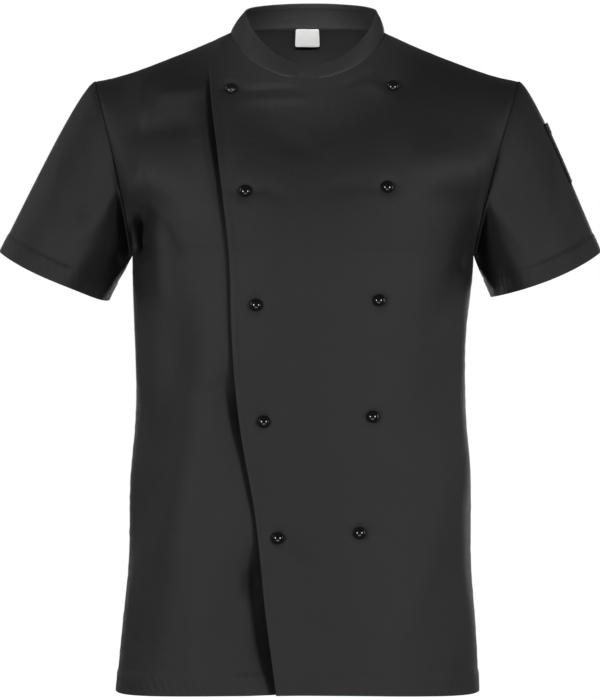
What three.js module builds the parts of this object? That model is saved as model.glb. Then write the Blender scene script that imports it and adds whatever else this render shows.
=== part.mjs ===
// Short-sleeved, double-breasted chef jacket, filled out as it is worn and held up at the shoulders.
// Millimetres, +Z up, +X towards the wearer's left, the wearer faces -Y.
// The origin is at the base of the neck, level with the neck ends of the shoulder seams.
import * as THREE from "three";

// ---- cloth and seams ----
const CLOTH = 1.5;            // wall of a body panel or sleeve
const COLLAR_CLOTH = 2.2;     // the collar is two layers and an interlining
const POCKET_CLOTH = 1.2;
const LABEL_CLOTH = 0.8;
const SEAM_INSET = 0.33;      // each piece stops this far short of its seam line
const COLLAR_INSET = 0.9;     // the collar wall is thicker, so it stops a little further up
const LAP_GAP = 1;            // air between the two fronts where they overlap
const REST_GAP = 0.3;         // air under what lies on a panel
const POCKET_GAP = 0.5;

// ---- body: sections from the hem to the underarm ----
const SQUARENESS = 2.4;       // 2 is an ellipse, more is boxier
const UNDERARM_Z = -241;
const BODY = [
  { z: -718, lean: -6, half: 199, front: 116, back: 121 },
  { z: -650, lean: -4.5, half: 194, front: 114, back: 118 },
  { z: -577, lean: -3.5, half: 188, front: 113, back: 112 },
  { z: -490, lean: -3, half: 187, front: 113, back: 103 },
  { z: -420, lean: -2.5, half: 181.5, front: 116, back: 98 },
  { z: -335, lean: -2, half: 180.5, front: 121, back: 103 },
  { z: UNDERARM_Z, lean: 0, half: 187, front: 124, back: 116 },
];
const HEM_RISE = 8;           // the hem is this much higher at centre front than at the side seams

// ---- shoulder and neck ----
const SHOULDER = { lean: 4.5, half: 231.5, z: -50 };
const NECK = { lean: 5, half: 85, front: 60, back: 68, frontZ: -53, sideZ: 4, backZ: 17 };
const COLLAR_TOP = { lean: 8.8, half: 71.5, front: 38, back: 56, frontZ: -36, sideZ: 28.6, backZ: 43.6 };
const SHOULDER_DIP = 1.38;    // over 1: the shoulder line sags between neck and sleeve
const NECK_SHARE = 0.42;      // share of the half panel's columns that end on the neckline
const NECK_ROLL_SHARE = 0.75; // the softer roll towards the neckline fades out by this column
const COLLAR_END = 8;         // degrees from centre front to each end of the collar
const FRONT_ROLL = 60;        // degrees of roll from chest to neckline; 90 at the shoulder seam
const BACK_ROLL = 74;

// ---- armholes and sleeves ----
const ARMHOLE = { topHalf: 231.5, bottomHalf: 187, front: 62, back: 68, lowCurve: 1.3, levelling: 0.35 };
const CUFF = { lean: -3, half: 270, y: -8, z: -262, radius: 64, depth: 62, tilt: 22.2, sag: 7 };
const SLEEVE_PUFF = 6.5;      // how far the outside of the sleeve stands off a straight line
const PUFF_WAY = { out: 0.88, up: 0.47 };

// ---- closing: where the two fronts end, by height (x at each z) ----
const FREE_EDGE = [
  { z: -709, x: -28.5 },
  { z: -620, x: -40 },
  { z: -520, x: -50.5 },
  { z: -430, x: -66 },
  { z: -330, x: -75 },
  { z: -240, x: -78 },
  { z: -140, x: -90 },
  { z: -41, x: -100 },
];
const HIDDEN_EDGE = [
  { z: -709, x: 74 },
  { z: -419, x: 88.5 },
  { z: -75, x: 108 },
  { z: -41, x: 112 },
];
const LAP_TOP = { centreZ: -53, rise: 11, reach: 100 };  // the lapped corner's nearly level top edge
const LAP_TOP_MAX = 0.985;
const LAP_TOP_CORNER = 0.4;   // column of the lapped corner
const LAP_BLEND = { from: -0.05, to: 0.12 };  // columns over which the over front steps onto the under front

// ---- largest folds: from one end to the other, out (+) or in (-) ----
const FRONT_FOLDS = [
  { x0: -128, z0: -285, x1: -186, z1: -585, width: 26, depth: -6 },
  { x0: -98, z0: -330, x1: -150, z1: -640, width: 24, depth: 4 },
  { x0: -185, z0: -250, x1: -150, z1: -430, width: 22, depth: 4 },
  { x0: 150, z0: -270, x1: 158, z1: -430, width: 22, depth: -5 },
  { x0: 176, z0: -420, x1: 120, z1: -640, width: 26, depth: 4 },
  { x0: -60, z0: -560, x1: -70, z1: -690, width: 24, depth: -4 },
  { x0: -190, z0: -150, x1: -120, z1: -70, width: 24, depth: 4 },
  { x0: 200, z0: -175, x1: 140, z1: -105, width: 24, depth: -4 },
];
const BACK_FOLDS = [
  { x0: -120, z0: -260, x1: -170, z1: -560, width: 28, depth: -6 },
  { x0: 125, z0: -270, x1: 165, z1: -590, width: 28, depth: -6 },
  { x0: -40, z0: -330, x1: -70, z1: -600, width: 30, depth: 4 },
  { x0: 45, z0: -380, x1: 60, z1: -640, width: 30, depth: 4 },
  { x0: -110, z0: -420, x1: 100, z1: -450, width: 30, depth: -5 },
];

// ---- studs: height, and place in each column ----
const STUD = { radius: 6.7, neck: 4.2, rim: 1.6, bead: 1, height: 8.2, sides: 16, domeSteps: 5 };
const STUD_ROWS = [
  { z: -67, edge: -77, inner: 96 },
  { z: -178, edge: -61, inner: 89.5 },
  { z: -298, edge: -49.5, inner: 80.5 },
  { z: -421, edge: -41.5, inner: 74 },
  { z: -544, edge: -27, inner: 60 },
];
const INNER_COLUMN_RISE = 5;  // the inner column sits a little higher

// ---- sleeve pocket and neck label ----
const POCKET = { firstRing: 2, lastRing: 5, stopsBehind: 2, stopsAhead: 1 };
const LABEL = { width: 27, height: 19.5, topZ: 15.5, clear: 1.5, lean: 0.3 };

// ---- how finely the pieces are faceted ----
const LOWER_ROWS = 11;
const UPPER_ROWS = 6;
const CAP_ROWS = 3;           // above the lapped corner
const SIDE_COLUMNS = 7;
const LAP_SHARES = [0, COLLAR_END / 90, 0.2, 0.4, 0.6, 0.8, 1];  // from centre front to either edge of the lap
const LAP_COLUMNS = LAP_SHARES.length - 1;
const NECK_COLUMNS = 5;
const SLEEVE_ROWS = 8;
const LOWER_SHARE = 0.68;     // share of a panel's height that is below the underarm

const RIGHT = -1;             // wearer's right is -X
const LEFT = 1;
const radians = THREE.MathUtils.degToRad;
const lerp = THREE.MathUtils.lerp;

// ================= shape functions =================

// Smooth curve through a table's rows, level at its upper end.
function tableValue(rows, z, column) {
  const last = rows.length - 1;
  if (z <= rows[0].z) return rows[0][column];
  if (z >= rows[last].z) return rows[last][column];
  let low = 0;
  while (rows[low + 1].z < z) low += 1;
  const slope = (k) => {
    if (k === last) return 0;
    const before = rows[Math.max(k - 1, 0)];
    const after = rows[k + 1];
    return (after[column] - before[column]) / (after.z - before.z);
  };
  const a = rows[low];
  const b = rows[low + 1];
  const step = b.z - a.z;
  const t = (z - a.z) / step;
  const t2 = t * t;
  const t3 = t2 * t;
  return (2 * t3 - 3 * t2 + 1) * a[column] + (t3 - 2 * t2 + t) * step * slope(low)
    + (3 * t2 - 2 * t3) * b[column] + (t3 - t2) * step * slope(low + 1);
}

// One point of a horizontal body section; column runs from -1 at the right side seam to 1 at the left.
function sectionPoint(front, column, z) {
  const turn = Math.sin(column * Math.PI / 2);
  const depth = tableValue(BODY, z, front ? "front" : "back");
  const reach = Math.max(0, 1 - Math.abs(turn) ** SQUARENESS) ** (1 / SQUARENESS);
  return new THREE.Vector3(
    tableValue(BODY, z, "lean") + tableValue(BODY, z, "half") * turn,
    (front ? -1 : 1) * depth * reach,
    z,
  );
}

// A neck ring, round from centre front (0 degrees) to centre back (180).
function ringPoint(ring, degrees) {
  const angle = radians(degrees);
  const ahead = Math.cos(angle);
  const drop = 0.6 * (1 - ahead) + 0.4 * Math.sin(angle) ** 2;
  const z = ahead > 0
    ? lerp(ring.frontZ, ring.sideZ, drop)
    : lerp(ring.sideZ, ring.backZ, -ahead);
  const depth = ahead > 0 ? ring.front : ring.back;
  return new THREE.Vector3(ring.lean + ring.half * Math.sin(angle), -ahead * depth, z);
}

// Angle round the neck of a column that ends on the neckline.
function neckAngle(front, column) {
  const share = 90 * column / NECK_SHARE;
  return front ? share : 180 - share;
}

// Top edge of a panel: the shoulder seam, then the neckline.
function topEdge(front, column) {
  const away = Math.abs(column);
  if (away <= NECK_SHARE) return ringPoint(NECK, neckAngle(front, column));
  const side = Math.sign(column);
  const inward = (1 - away) / (1 - NECK_SHARE);
  const neckEnd = ringPoint(NECK, side * 90);
  return new THREE.Vector3(
    lerp(SHOULDER.lean + side * SHOULDER.half, neckEnd.x, inward),
    lerp(0, neckEnd.y, inward),
    SHOULDER.z + (neckEnd.z - SHOULDER.z) * inward ** SHOULDER_DIP,
  );
}

// The armhole, from 0 degrees at the shoulder point, forwards, to 180 at the underarm.
function armholePoint(side, front, degrees) {
  const angle = radians(degrees);
  const high = Math.cos(angle);
  const round = Math.sin(angle) ** (2 / 2.2);
  const share = (1 + high) / 2;
  const half = lerp(ARMHOLE.bottomHalf, ARMHOLE.topHalf, share ** ARMHOLE.lowCurve);
  return new THREE.Vector3(
    lerp(0, SHOULDER.lean, share) + side * half,
    front ? -ARMHOLE.front * round : ARMHOLE.back * round,
    lerp(UNDERARM_Z, SHOULDER.z, share),
  );
}

// Armhole angle at a share of the way up the panel's edge.
function armholeAngle(up) {
  const level = THREE.MathUtils.radToDeg(Math.acos(2 * Math.sin(up * Math.PI / 2) - 1));
  return lerp(180 * (1 - up), level, ARMHOLE.levelling);
}

// The panel between the underarm level and its top edge, before it is drawn onto the armhole.
function risingPoint(front, column, up) {
  const base = sectionPoint(front, column, UNDERARM_Z);
  const top = topEdge(front, column);
  const neckward = Math.max(0, 1 - Math.abs(column) / NECK_ROLL_SHARE);
  const eased = neckward * neckward * (3 - 2 * neckward);
  const fullRoll = radians(lerp(90, front ? FRONT_ROLL : BACK_ROLL, eased));
  const across = (1 - Math.cos(fullRoll * up)) / (1 - Math.cos(fullRoll));
  const rise = Math.sin(fullRoll * up) / Math.sin(fullRoll);
  return new THREE.Vector3(
    lerp(base.x, top.x, across),
    lerp(base.y, top.y, across),
    lerp(base.z, top.z, rise),
  );
}

// The bare form of a front or back: column -1..1 across, row 0..1 from hem to top edge.
function barePoint(front, column, row) {
  if (row > 1) return barePoint(!front, column, 2 - row);
  if (row <= LOWER_SHARE) {
    if (Math.abs(column) > 1) return barePoint(!front, Math.sign(column) * 2 - column, row);
    const middle = Math.cos(column * Math.PI / 2) ** 2;
    const hem = BODY[0].z + (front ? HEM_RISE * middle : 0);
    return sectionPoint(front, column, lerp(hem, UNDERARM_Z, row / LOWER_SHARE));
  }
  const up = (row - LOWER_SHARE) / (1 - LOWER_SHARE);
  const side = Math.sign(column) || 1;
  const point = risingPoint(front, column, up);
  const pull = armholePoint(side, front, armholeAngle(up)).sub(risingPoint(front, side, up));
  return point.addScaledVector(pull, column * column);
}

const STEP = 0.004;

// Outward unit normal of any surface function of (column, row), given as two neighbours each way.
function slopeNormal(pointAt, column, row, columnLimit, rowLimit) {
  const c0 = Math.max(column - STEP, -columnLimit);
  const c1 = Math.min(column + STEP, columnLimit);
  const r1 = Math.min(row + STEP, rowLimit);
  const r0 = Math.max(row - STEP, 0);
  const along = pointAt(c1, row).sub(pointAt(c0, row));
  const upward = pointAt(column, r1).sub(pointAt(column, r0));
  return along.cross(upward).normalize();
}

function bodyNormal(pointAt, front, column, row) {
  const columnLimit = row <= LOWER_SHARE ? 2 : 1;
  const rowLimit = Math.abs(column) > NECK_SHARE ? 2 : 1;
  const normal = slopeNormal(pointAt, column, row, columnLimit, rowLimit);
  return front ? normal : normal.negate();
}

const FOLD_FADE = { side: 0.16, top: 0.06, beforeEnd: -0.12, afterEnd: 0.3 };

// Height of the folds at a point of the form, fading out before every seam.
function foldHeight(front, column, row, point) {
  const sideFade = THREE.MathUtils.smoothstep(1 - Math.abs(column), 0, FOLD_FADE.side);
  const topFade = THREE.MathUtils.smoothstep(1 - row, 0, FOLD_FADE.top);
  const fadeIn = (share) => THREE.MathUtils.smoothstep(share, FOLD_FADE.beforeEnd, FOLD_FADE.afterEnd);
  let height = 0;
  for (const fold of front ? FRONT_FOLDS : BACK_FOLDS) {
    const runX = fold.x1 - fold.x0;
    const runZ = fold.z1 - fold.z0;
    const length = Math.hypot(runX, runZ);
    const along = ((point.x - fold.x0) * runX + (point.z - fold.z0) * runZ) / (length * length);
    const beside = ((point.x - fold.x0) * runZ - (point.z - fold.z0) * runX) / length;
    height += fold.depth * fadeIn(along) * fadeIn(1 - along) * Math.exp(-((beside / fold.width) ** 2));
  }
  return height * sideFade * topFade;
}

// The form with its folds.
function bodyPoint(front, column, row) {
  const bare = (c, r) => barePoint(front, c, r);
  const point = barePoint(front, column, row);
  if (Math.abs(column) >= 1 || row >= 1) return point;
  const normal = bodyNormal(bare, front, column, row);
  return point.addScaledVector(normal, foldHeight(front, column, row, point));
}

function bodySurfaceNormal(front, column, row) {
  return bodyNormal((c, r) => bodyPoint(front, c, r), front, column, row);
}

// A sleeve, whose cuff hangs lower in front and behind. Around is degrees from the top of the
// sleeve, forwards; along is 0 at the armhole, 1 at the cuff.
function sleevePoint(side, around, along) {
  const front = around <= 180;
  const start = armholePoint(side, front, front ? around : 360 - around);
  const angle = radians(around);
  const tilt = radians(CUFF.tilt);
  const out = CUFF.radius * Math.cos(angle);
  const sag = CUFF.sag * Math.sin(angle) ** 2;
  const end = new THREE.Vector3(
    CUFF.lean + side * (CUFF.half + out * Math.cos(tilt) + sag * Math.sin(tilt)),
    CUFF.y - CUFF.depth * Math.sin(angle),
    CUFF.z + out * Math.sin(tilt) - sag * Math.cos(tilt),
  );
  const point = start.lerp(end, along);
  const puff = SLEEVE_PUFF * Math.sin(Math.PI * Math.sqrt(along)) * Math.max(0, Math.cos(angle));
  return point.add(new THREE.Vector3(side * puff * PUFF_WAY.out, 0, puff * PUFF_WAY.up));
}

function sleeveNormal(side, around, along) {
  const turn = (degrees) => sleevePoint(side, (degrees + 360) % 360, along);
  const a0 = Math.max(along - STEP, 0);
  const a1 = Math.min(along + STEP, 1);
  const roundward = turn(around + 1).sub(turn(around - 1));
  const downward = sleevePoint(side, around, a1).sub(sleevePoint(side, around, a0));
  return roundward.cross(downward).normalize().multiplyScalar(side);
}

// The vector with a length of 1 along each of two unit directions.
function joined(one, other) {
  return one.clone().add(other).divideScalar(1 + one.dot(other));
}

const SHARP_FOLD = 0.3;

// Shared edge direction of two pieces, so that their walls meet in a mitre; a sharp fold needs none.
function mitre(own, other) {
  return own.dot(other) < SHARP_FOLD ? own.clone() : joined(own, other);
}

// ================= walls =================

// A closed wall from a grid of cloth points. Each vertex has a point and the way its thickness goes.
// Cells are present where keep says so; every open edge is closed by a strip of the wall's thickness.
function wallGeometry(grid, options) {
  const { thickness, lift = 0, inset = SEAM_INSET, keep = () => true, flip = false, closed = false } = options;
  const columns = grid[0].length;
  const vertexOf = (k) => grid[Math.floor(k / columns)][k % columns];
  const key = (j, i) => j * columns + (i % columns);
  const cells = [];
  for (let j = 0; j < grid.length - 1; j += 1) {
    for (let i = 0; i < (closed ? columns : columns - 1); i += 1) {
      if (!keep(j, i)) continue;
      const corners = [key(j, i), key(j, i + 1), key(j + 1, i + 1), key(j + 1, i)];
      cells.push(flip ? corners.reverse() : corners);
    }
  }
  const edges = new Map();
  for (const cell of cells) {
    cell.forEach((k, n) => {
      const next = cell[(n + 1) % 4];
      edges.set(`${k}_${next}`, [k, next, cell]);
    });
  }
  const open = [...edges.values()].filter(([a, b]) => !edges.has(`${b}_${a}`));

  // Directions square to the open edges, along the cloth, pointing into the piece.
  const inward = new Map();
  for (const [a, b, cell] of open) {
    const [p, q, r, s] = cell.map((k) => vertexOf(k).point);
    const facing = r.clone().sub(p).cross(s.clone().sub(q)).normalize();
    const along = vertexOf(b).point.clone().sub(vertexOf(a).point).normalize();
    const square = facing.cross(along).normalize();
    for (const k of [a, b]) inward.set(k, inward.has(k) ? joined(inward.get(k), square) : square);
  }

  const positions = [];
  const outer = new Map();
  const inner = new Map();
  for (const k of new Set(cells.flat())) {
    const vertex = vertexOf(k);
    const place = vertex.point.clone();
    if (inward.has(k)) place.addScaledVector(inward.get(k), inset);
    const rise = lift + (vertex.lift ?? 0);
    outer.set(k, positions.length / 3);
    positions.push(...place.clone().addScaledVector(vertex.normal, rise).toArray());
    inner.set(k, positions.length / 3);
    positions.push(...place.clone().addScaledVector(vertex.normal, rise - thickness).toArray());
  }
  const index = [];
  const quad = (a, b, c, d) => index.push(a, b, c, a, c, d);
  for (const cell of cells) {
    quad(...cell.map((k) => outer.get(k)));
    quad(...cell.map((k) => inner.get(k)).reverse());
  }
  for (const [a, b] of open) quad(outer.get(b), outer.get(a), inner.get(a), inner.get(b));
  const geometry = new THREE.BufferGeometry();
  geometry.setAttribute("position", new THREE.Float32BufferAttribute(positions, 3));
  geometry.setIndex(index);
  geometry.computeVertexNormals();
  return geometry;
}

function steps(count, from = 0, to = 1) {
  return Array.from({ length: count + 1 }, (_, k) => lerp(from, to, k / count));
}

function bisect(low, high, tooLow) {
  for (let k = 0; k < 40; k += 1) {
    const middle = (low + high) / 2;
    if (tooLow(middle)) low = middle;
    else high = middle;
  }
  return (low + high) / 2;
}

// ================= rows and columns that neighbouring pieces share =================

// Row of the lapped corner's top edge at a column; beyond the corner it stays level.
function lapTopRow(column) {
  const away = Math.min(Math.abs(column), LAP_TOP_CORNER);
  const side = Math.sign(column) || 1;
  const tooLow = (row) => {
    const point = barePoint(true, side * away, row);
    return point.z < LAP_TOP.centreZ + LAP_TOP.rise * ((point.x - NECK.lean) / LAP_TOP.reach) ** 2;
  };
  return Math.min(LAP_TOP_MAX, bisect(LOWER_SHARE + 0.1, 1, tooLow));
}

// Rows from the hem up, in three zones: to the underarm, to the lapped corner's top, to the top edge.
const ROWS = [
  ...steps(LOWER_ROWS).map((share) => ({ zone: "lower", share })),
  ...steps(UPPER_ROWS).slice(1).map((share) => ({ zone: "upper", share })),
  ...steps(CAP_ROWS).slice(1).map((share) => ({ zone: "cap", share })),
];
const LAP_TOP_INDEX = LOWER_ROWS + UPPER_ROWS;

function rowAt(place, column) {
  if (place.zone === "lower") return place.share * LOWER_SHARE;
  if (place.zone === "upper") return lerp(LOWER_SHARE, lapTopRow(column), place.share);
  return lerp(lapTopRow(column), 1, place.share);
}

// Column of a front edge at a row, from its table of x by height.
function edgeColumn(table, place) {
  if (place.zone === "cap") {
    const corner = edgeColumn(table, ROWS[LAP_TOP_INDEX]);
    return lerp(corner, Math.sign(corner) * NECK_SHARE, place.share);
  }
  return bisect(-0.7, 0.7, (column) => {
    const point = barePoint(true, column, rowAt(place, column));
    return point.x < tableValue(table, point.z, "x");
  });
}

// The front's column lines at a row: side, free edge, centre, hidden edge, side.
function frontColumns(place) {
  const free = edgeColumn(FREE_EDGE, place);
  const hidden = edgeColumn(HIDDEN_EDGE, place);
  const centre = (free + hidden) / 2 * (1 - rowAt(place, 0));
  return {
    outerRight: steps(SIDE_COLUMNS, -1, free),
    lapRight: LAP_SHARES.map((share) => lerp(centre, free, share)).reverse(),
    lapLeft: LAP_SHARES.map((share) => lerp(centre, hidden, share)),
    outerLeft: steps(SIDE_COLUMNS, hidden, 1),
  };
}

function joinSteps(...lists) {
  return lists.flatMap((list, k) => (k ? list.slice(1) : list));
}

// Body normal at the neckline; where front, back and collar meet it is the mean of front and back.
function neckSeamNormal(front, column) {
  const normal = bodySurfaceNormal(front, column, 1);
  if (Math.abs(column) < NECK_SHARE) return normal;
  return normal.add(bodySurfaceNormal(!front, column, 1)).normalize();
}

// Mitre direction of a body panel's edge with the sleeve or collar; elsewhere the plain normal.
function panelNormal(front, column, row) {
  const normal = bodySurfaceNormal(front, column, row);
  if (Math.abs(column) === 1 && row >= LOWER_SHARE) {
    const up = (row - LOWER_SHARE) / (1 - LOWER_SHARE);
    const around = armholeAngle(up);
    return mitre(normal, sleeveNormal(Math.sign(column), front ? around : 360 - around, 0));
  }
  if (row === 1 && Math.abs(column) <= NECK_SHARE) {
    return mitre(neckSeamNormal(front, column), collarNormal(neckAngle(front, column), 0));
  }
  return normal;
}

// The lap: the over front rises by one layer on the wearer's right of centre, the under front sinks beside it.
function lapLift(column) {
  return (CLOTH + LAP_GAP) * THREE.MathUtils.smoothstep(-column, LAP_BLEND.from, LAP_BLEND.to);
}

function panelGrid(front, places, columnsAt, liftAt = () => 0) {
  return places.map((place) => columnsAt(place).map((column) => {
    const row = rowAt(place, column);
    return {
      point: bodyPoint(front, column, row),
      normal: panelNormal(front, column, row),
      lift: liftAt(column),
    };
  }));
}

// ================= pieces =================

function backGeometry() {
  const columns = joinSteps(
    steps(SIDE_COLUMNS, -1, -NECK_SHARE),
    steps(2 * NECK_COLUMNS, -NECK_SHARE, NECK_SHARE),
    steps(SIDE_COLUMNS, NECK_SHARE, 1),
  );
  return wallGeometry(panelGrid(false, ROWS, () => columns), { thickness: CLOTH, flip: true });
}

function overFrontGeometry() {
  const columnsAt = (place) => {
    const lines = frontColumns(place);
    return joinSteps(lines.lapRight, lines.lapLeft, lines.outerLeft);
  };
  const keep = (j, i) => j < LAP_TOP_INDEX || i >= LAP_COLUMNS;
  return wallGeometry(panelGrid(true, ROWS, columnsAt, lapLift), { thickness: CLOTH, keep });
}

function underFrontGeometry() {
  const columnsAt = (place) => {
    const lines = frontColumns(place);
    return joinSteps(lines.outerRight, lines.lapRight, lines.lapLeft);
  };
  const keep = (j, i) => j < LAP_TOP_INDEX || i < SIDE_COLUMNS + LAP_COLUMNS;
  const liftAt = (column) => lapLift(column) - CLOTH - LAP_GAP;
  return wallGeometry(panelGrid(true, ROWS, columnsAt, liftAt), { thickness: CLOTH, keep });
}

function armholeStops() {
  const upper = ROWS.filter((place) => place.zone !== "lower");
  const rising = upper.map((place) => (rowAt(place, 1) - LOWER_SHARE) / (1 - LOWER_SHARE));
  const angles = [0, ...rising].map(armholeAngle).reverse();
  return [...angles, ...angles.slice(1, -1).reverse().map((angle) => 360 - angle)];
}

function sleeveGeometry(side) {
  const stops = armholeStops();
  const grid = steps(SLEEVE_ROWS).map((along) => stops.map((around) => {
    let normal = sleeveNormal(side, around, along);
    if (along === 0) {
      const front = around <= 180;
      const up = risingShare(front ? around : 360 - around);
      const row = lerp(LOWER_SHARE, 1, up);
      normal = mitre(normal, bodySurfaceNormal(front, side, row));
    }
    return { point: sleevePoint(side, around, along), normal };
  }));
  return wallGeometry(grid, { thickness: CLOTH, closed: true, flip: side === RIGHT });
}

// Share of the way up the armhole edge at an armhole angle.
function risingShare(degrees) {
  return bisect(0, 1, (up) => armholeAngle(up) > degrees);
}

function collarPoint(around, up) {
  const base = ringPoint(NECK, around);
  const top = ringPoint(COLLAR_TOP, around);
  return base.lerp(top, up);
}

function collarNormal(around, up) {
  const roundward = collarPoint(around + 1, up).sub(collarPoint(around - 1, up));
  const upward = collarPoint(around, 1).sub(collarPoint(around, 0));
  return roundward.cross(upward).normalize();
}

function collarGeometry() {
  const frontStops = LAP_SHARES.slice(1).map((share) => 90 * share);
  const backStops = steps(2 * NECK_COLUMNS, 90, 270);
  const stops = joinSteps(frontStops, backStops, frontStops.map((angle) => 360 - angle).reverse());
  const grid = steps(3).map((up) => stops.map((around) => {
    let normal = collarNormal(around, up);
    if (up === 0) {
      const front = around <= 90 || around >= 270;
      const angle = around > 180 ? around - 360 : around;
      const column = NECK_SHARE * (front ? angle / 90 : (180 - Math.abs(angle)) * Math.sign(angle) / 90);
      normal = mitre(normal, neckSeamNormal(front, column));
    }
    return { point: collarPoint(around, up), normal };
  }));
  return wallGeometry(grid, { thickness: COLLAR_CLOTH, inset: COLLAR_INSET });
}

// The pen pocket lies on the outside of the sleeve, on the sleeve's own rings.
function pocketGeometry() {
  const stops = armholeStops();
  const columns = [...stops.slice(-POCKET.stopsBehind), ...stops.slice(0, POCKET.stopsAhead + 1)];
  const rings = steps(SLEEVE_ROWS).slice(POCKET.firstRing, POCKET.lastRing + 1);
  const grid = rings.map((along) => columns.map((around) => (
    { point: sleevePoint(LEFT, around, along), normal: sleeveNormal(LEFT, around, along) }
  )));
  return wallGeometry(grid, { thickness: POCKET_CLOTH, lift: POCKET_CLOTH + POCKET_GAP, inset: 0 });
}

// The neck label hangs from just under the collar seam, inside the back.
function labelGeometry() {
  const edgeAngle = THREE.MathUtils.radToDeg(Math.asin(LABEL.width / 2 / NECK.half));
  const inward = -CLOTH - LABEL.clear;
  const grid = [0, 0.5, 1].map((up) => steps(4, 180 + edgeAngle, 180 - edgeAngle).map((around) => {
    const seam = ringPoint(NECK, around);
    const normal = collarNormal(around, 0).setZ(0).normalize();
    const hang = LABEL.height * (1 - up);
    seam.z = LABEL.topZ - hang;
    seam.addScaledVector(normal, LABEL.lean * hang);
    return { point: seam, normal };
  }));
  return wallGeometry(grid, { thickness: LABEL_CLOTH, lift: inward, inset: 0, flip: true });
}

// A dome on a short neck, round its own Y axis, with its base at the origin.
function studGeometry() {
  const profile = [
    new THREE.Vector2(0, 0),
    new THREE.Vector2(STUD.neck, 0),
    new THREE.Vector2(STUD.neck, STUD.rim),
    new THREE.Vector2(STUD.radius - STUD.bead / 2, STUD.rim),
  ];
  for (const share of steps(STUD.domeSteps)) {
    const angle = share * Math.PI / 2;
    profile.push(new THREE.Vector2(
      share === 1 ? 0 : STUD.radius * Math.cos(angle),
      STUD.rim + STUD.bead + (STUD.height - STUD.rim - STUD.bead) * Math.sin(angle),
    ));
  }
  return new THREE.LatheGeometry(profile, STUD.sides);
}

// Where a stud stands on the over front, and the way it points.
function studPlace(x, z) {
  const rowFor = (column) => bisect(0, 0.999, (row) => barePoint(true, column, row).z < z);
  const column = bisect(-0.6, 0.6, (c) => barePoint(true, c, rowFor(c)).x < x);
  const row = rowFor(column);
  const normal = bodySurfaceNormal(true, column, row);
  const place = bodyPoint(true, column, row).addScaledVector(normal, lapLift(column) + REST_GAP);
  return { place, normal };
}

// ================= the jacket =================

const cloth = () => new THREE.MeshStandardMaterial({ color: 0x1d1d1f, roughness: 0.9, metalness: 0 });
const stud = () => new THREE.MeshStandardMaterial({ color: 0x050506, roughness: 0.15, metalness: 0 });
const label = () => new THREE.MeshStandardMaterial({ color: 0xf2f2f0, roughness: 0.6, metalness: 0 });

const jacket = new THREE.Group();

function addPiece(name, geometry, material) {
  const mesh = new THREE.Mesh(geometry, material);
  mesh.name = name;
  jacket.add(mesh);
  return mesh;
}

addPiece("back", backGeometry(), cloth());
addPiece("front_right", underFrontGeometry(), cloth());
addPiece("front_left", overFrontGeometry(), cloth());
addPiece("sleeve_right", sleeveGeometry(RIGHT), cloth());
addPiece("sleeve_left", sleeveGeometry(LEFT), cloth());
addPiece("collar", collarGeometry(), cloth());
addPiece("sleeve_pocket", pocketGeometry(), cloth());
addPiece("neck_label", labelGeometry(), label());

const LATHE_AXIS = new THREE.Vector3(0, 1, 0);
STUD_ROWS.forEach((row, k) => {
  for (const [column, x, z] of [["edge", row.edge, row.z], ["inner", row.inner, row.z + INNER_COLUMN_RISE]]) {
    const mesh = addPiece(`stud_${column}_${k + 1}`, studGeometry(), stud());
    const { place, normal } = studPlace(x, z);
    mesh.position.copy(place);
    mesh.quaternion.setFromUnitVectors(LATHE_AXIS, normal);
  }
});

export default jacket;
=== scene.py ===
# %% [markdown]
# # A chef jacket, filled out as it is worn
# The jacket is short-sleeved and double-breasted, with a stand collar and two columns of glossy dome
# studs. It hangs hollow, as if on an invisible figure. The engineering model gives every piece its size
# and place, so this script loads it first and never moves it. Each cloth piece is then remade as a thin,
# finely meshed shell on the same form, with the creases, hems, seams and stitches that the plain solids
# leave out.

# %% Load the frame
import math

import bpy
import numpy as np
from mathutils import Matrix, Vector


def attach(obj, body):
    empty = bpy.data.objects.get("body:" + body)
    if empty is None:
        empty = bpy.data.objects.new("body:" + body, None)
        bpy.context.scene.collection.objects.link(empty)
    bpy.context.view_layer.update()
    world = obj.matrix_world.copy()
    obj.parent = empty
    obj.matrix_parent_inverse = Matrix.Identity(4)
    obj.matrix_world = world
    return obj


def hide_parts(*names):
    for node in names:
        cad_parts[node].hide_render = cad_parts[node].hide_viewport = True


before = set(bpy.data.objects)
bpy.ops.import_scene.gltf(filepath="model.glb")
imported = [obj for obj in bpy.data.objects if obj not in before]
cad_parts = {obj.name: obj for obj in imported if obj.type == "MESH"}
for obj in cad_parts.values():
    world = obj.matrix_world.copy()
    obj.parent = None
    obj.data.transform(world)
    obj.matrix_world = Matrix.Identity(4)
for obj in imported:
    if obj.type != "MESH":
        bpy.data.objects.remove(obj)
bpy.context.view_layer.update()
MM = 0.001

# %% [markdown]
# ## Camera
# A garment is usually shown from far away with a long lens, so that its outline stays true and its hem
# does not bulge towards the viewer. The camera stands level with the middle of the jacket. A short lens
# close by would show the same frame with swollen fronts, which is why the distance is chosen first and
# the lens follows from it.

# %% Camera
CAMERA_PLACE = (-0.0033, -2.8, -0.34375)
LENS = 131.5
SENSOR_WIDTH = 36


def add_object(name, data):
    """A new object at the origin, linked into the scene."""
    made = bpy.data.objects.new(name, data)
    bpy.context.scene.collection.objects.link(made)
    return made


camera_data = bpy.data.cameras.new("camera")
camera_data.lens = LENS
camera_data.sensor_width = SENSOR_WIDTH
camera = add_object("camera", camera_data)
camera.location = CAMERA_PLACE
camera.rotation_euler = (math.pi / 2, 0, 0)
bpy.context.scene.camera = camera
print("camera at", CAMERA_PLACE, "lens", LENS)

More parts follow.
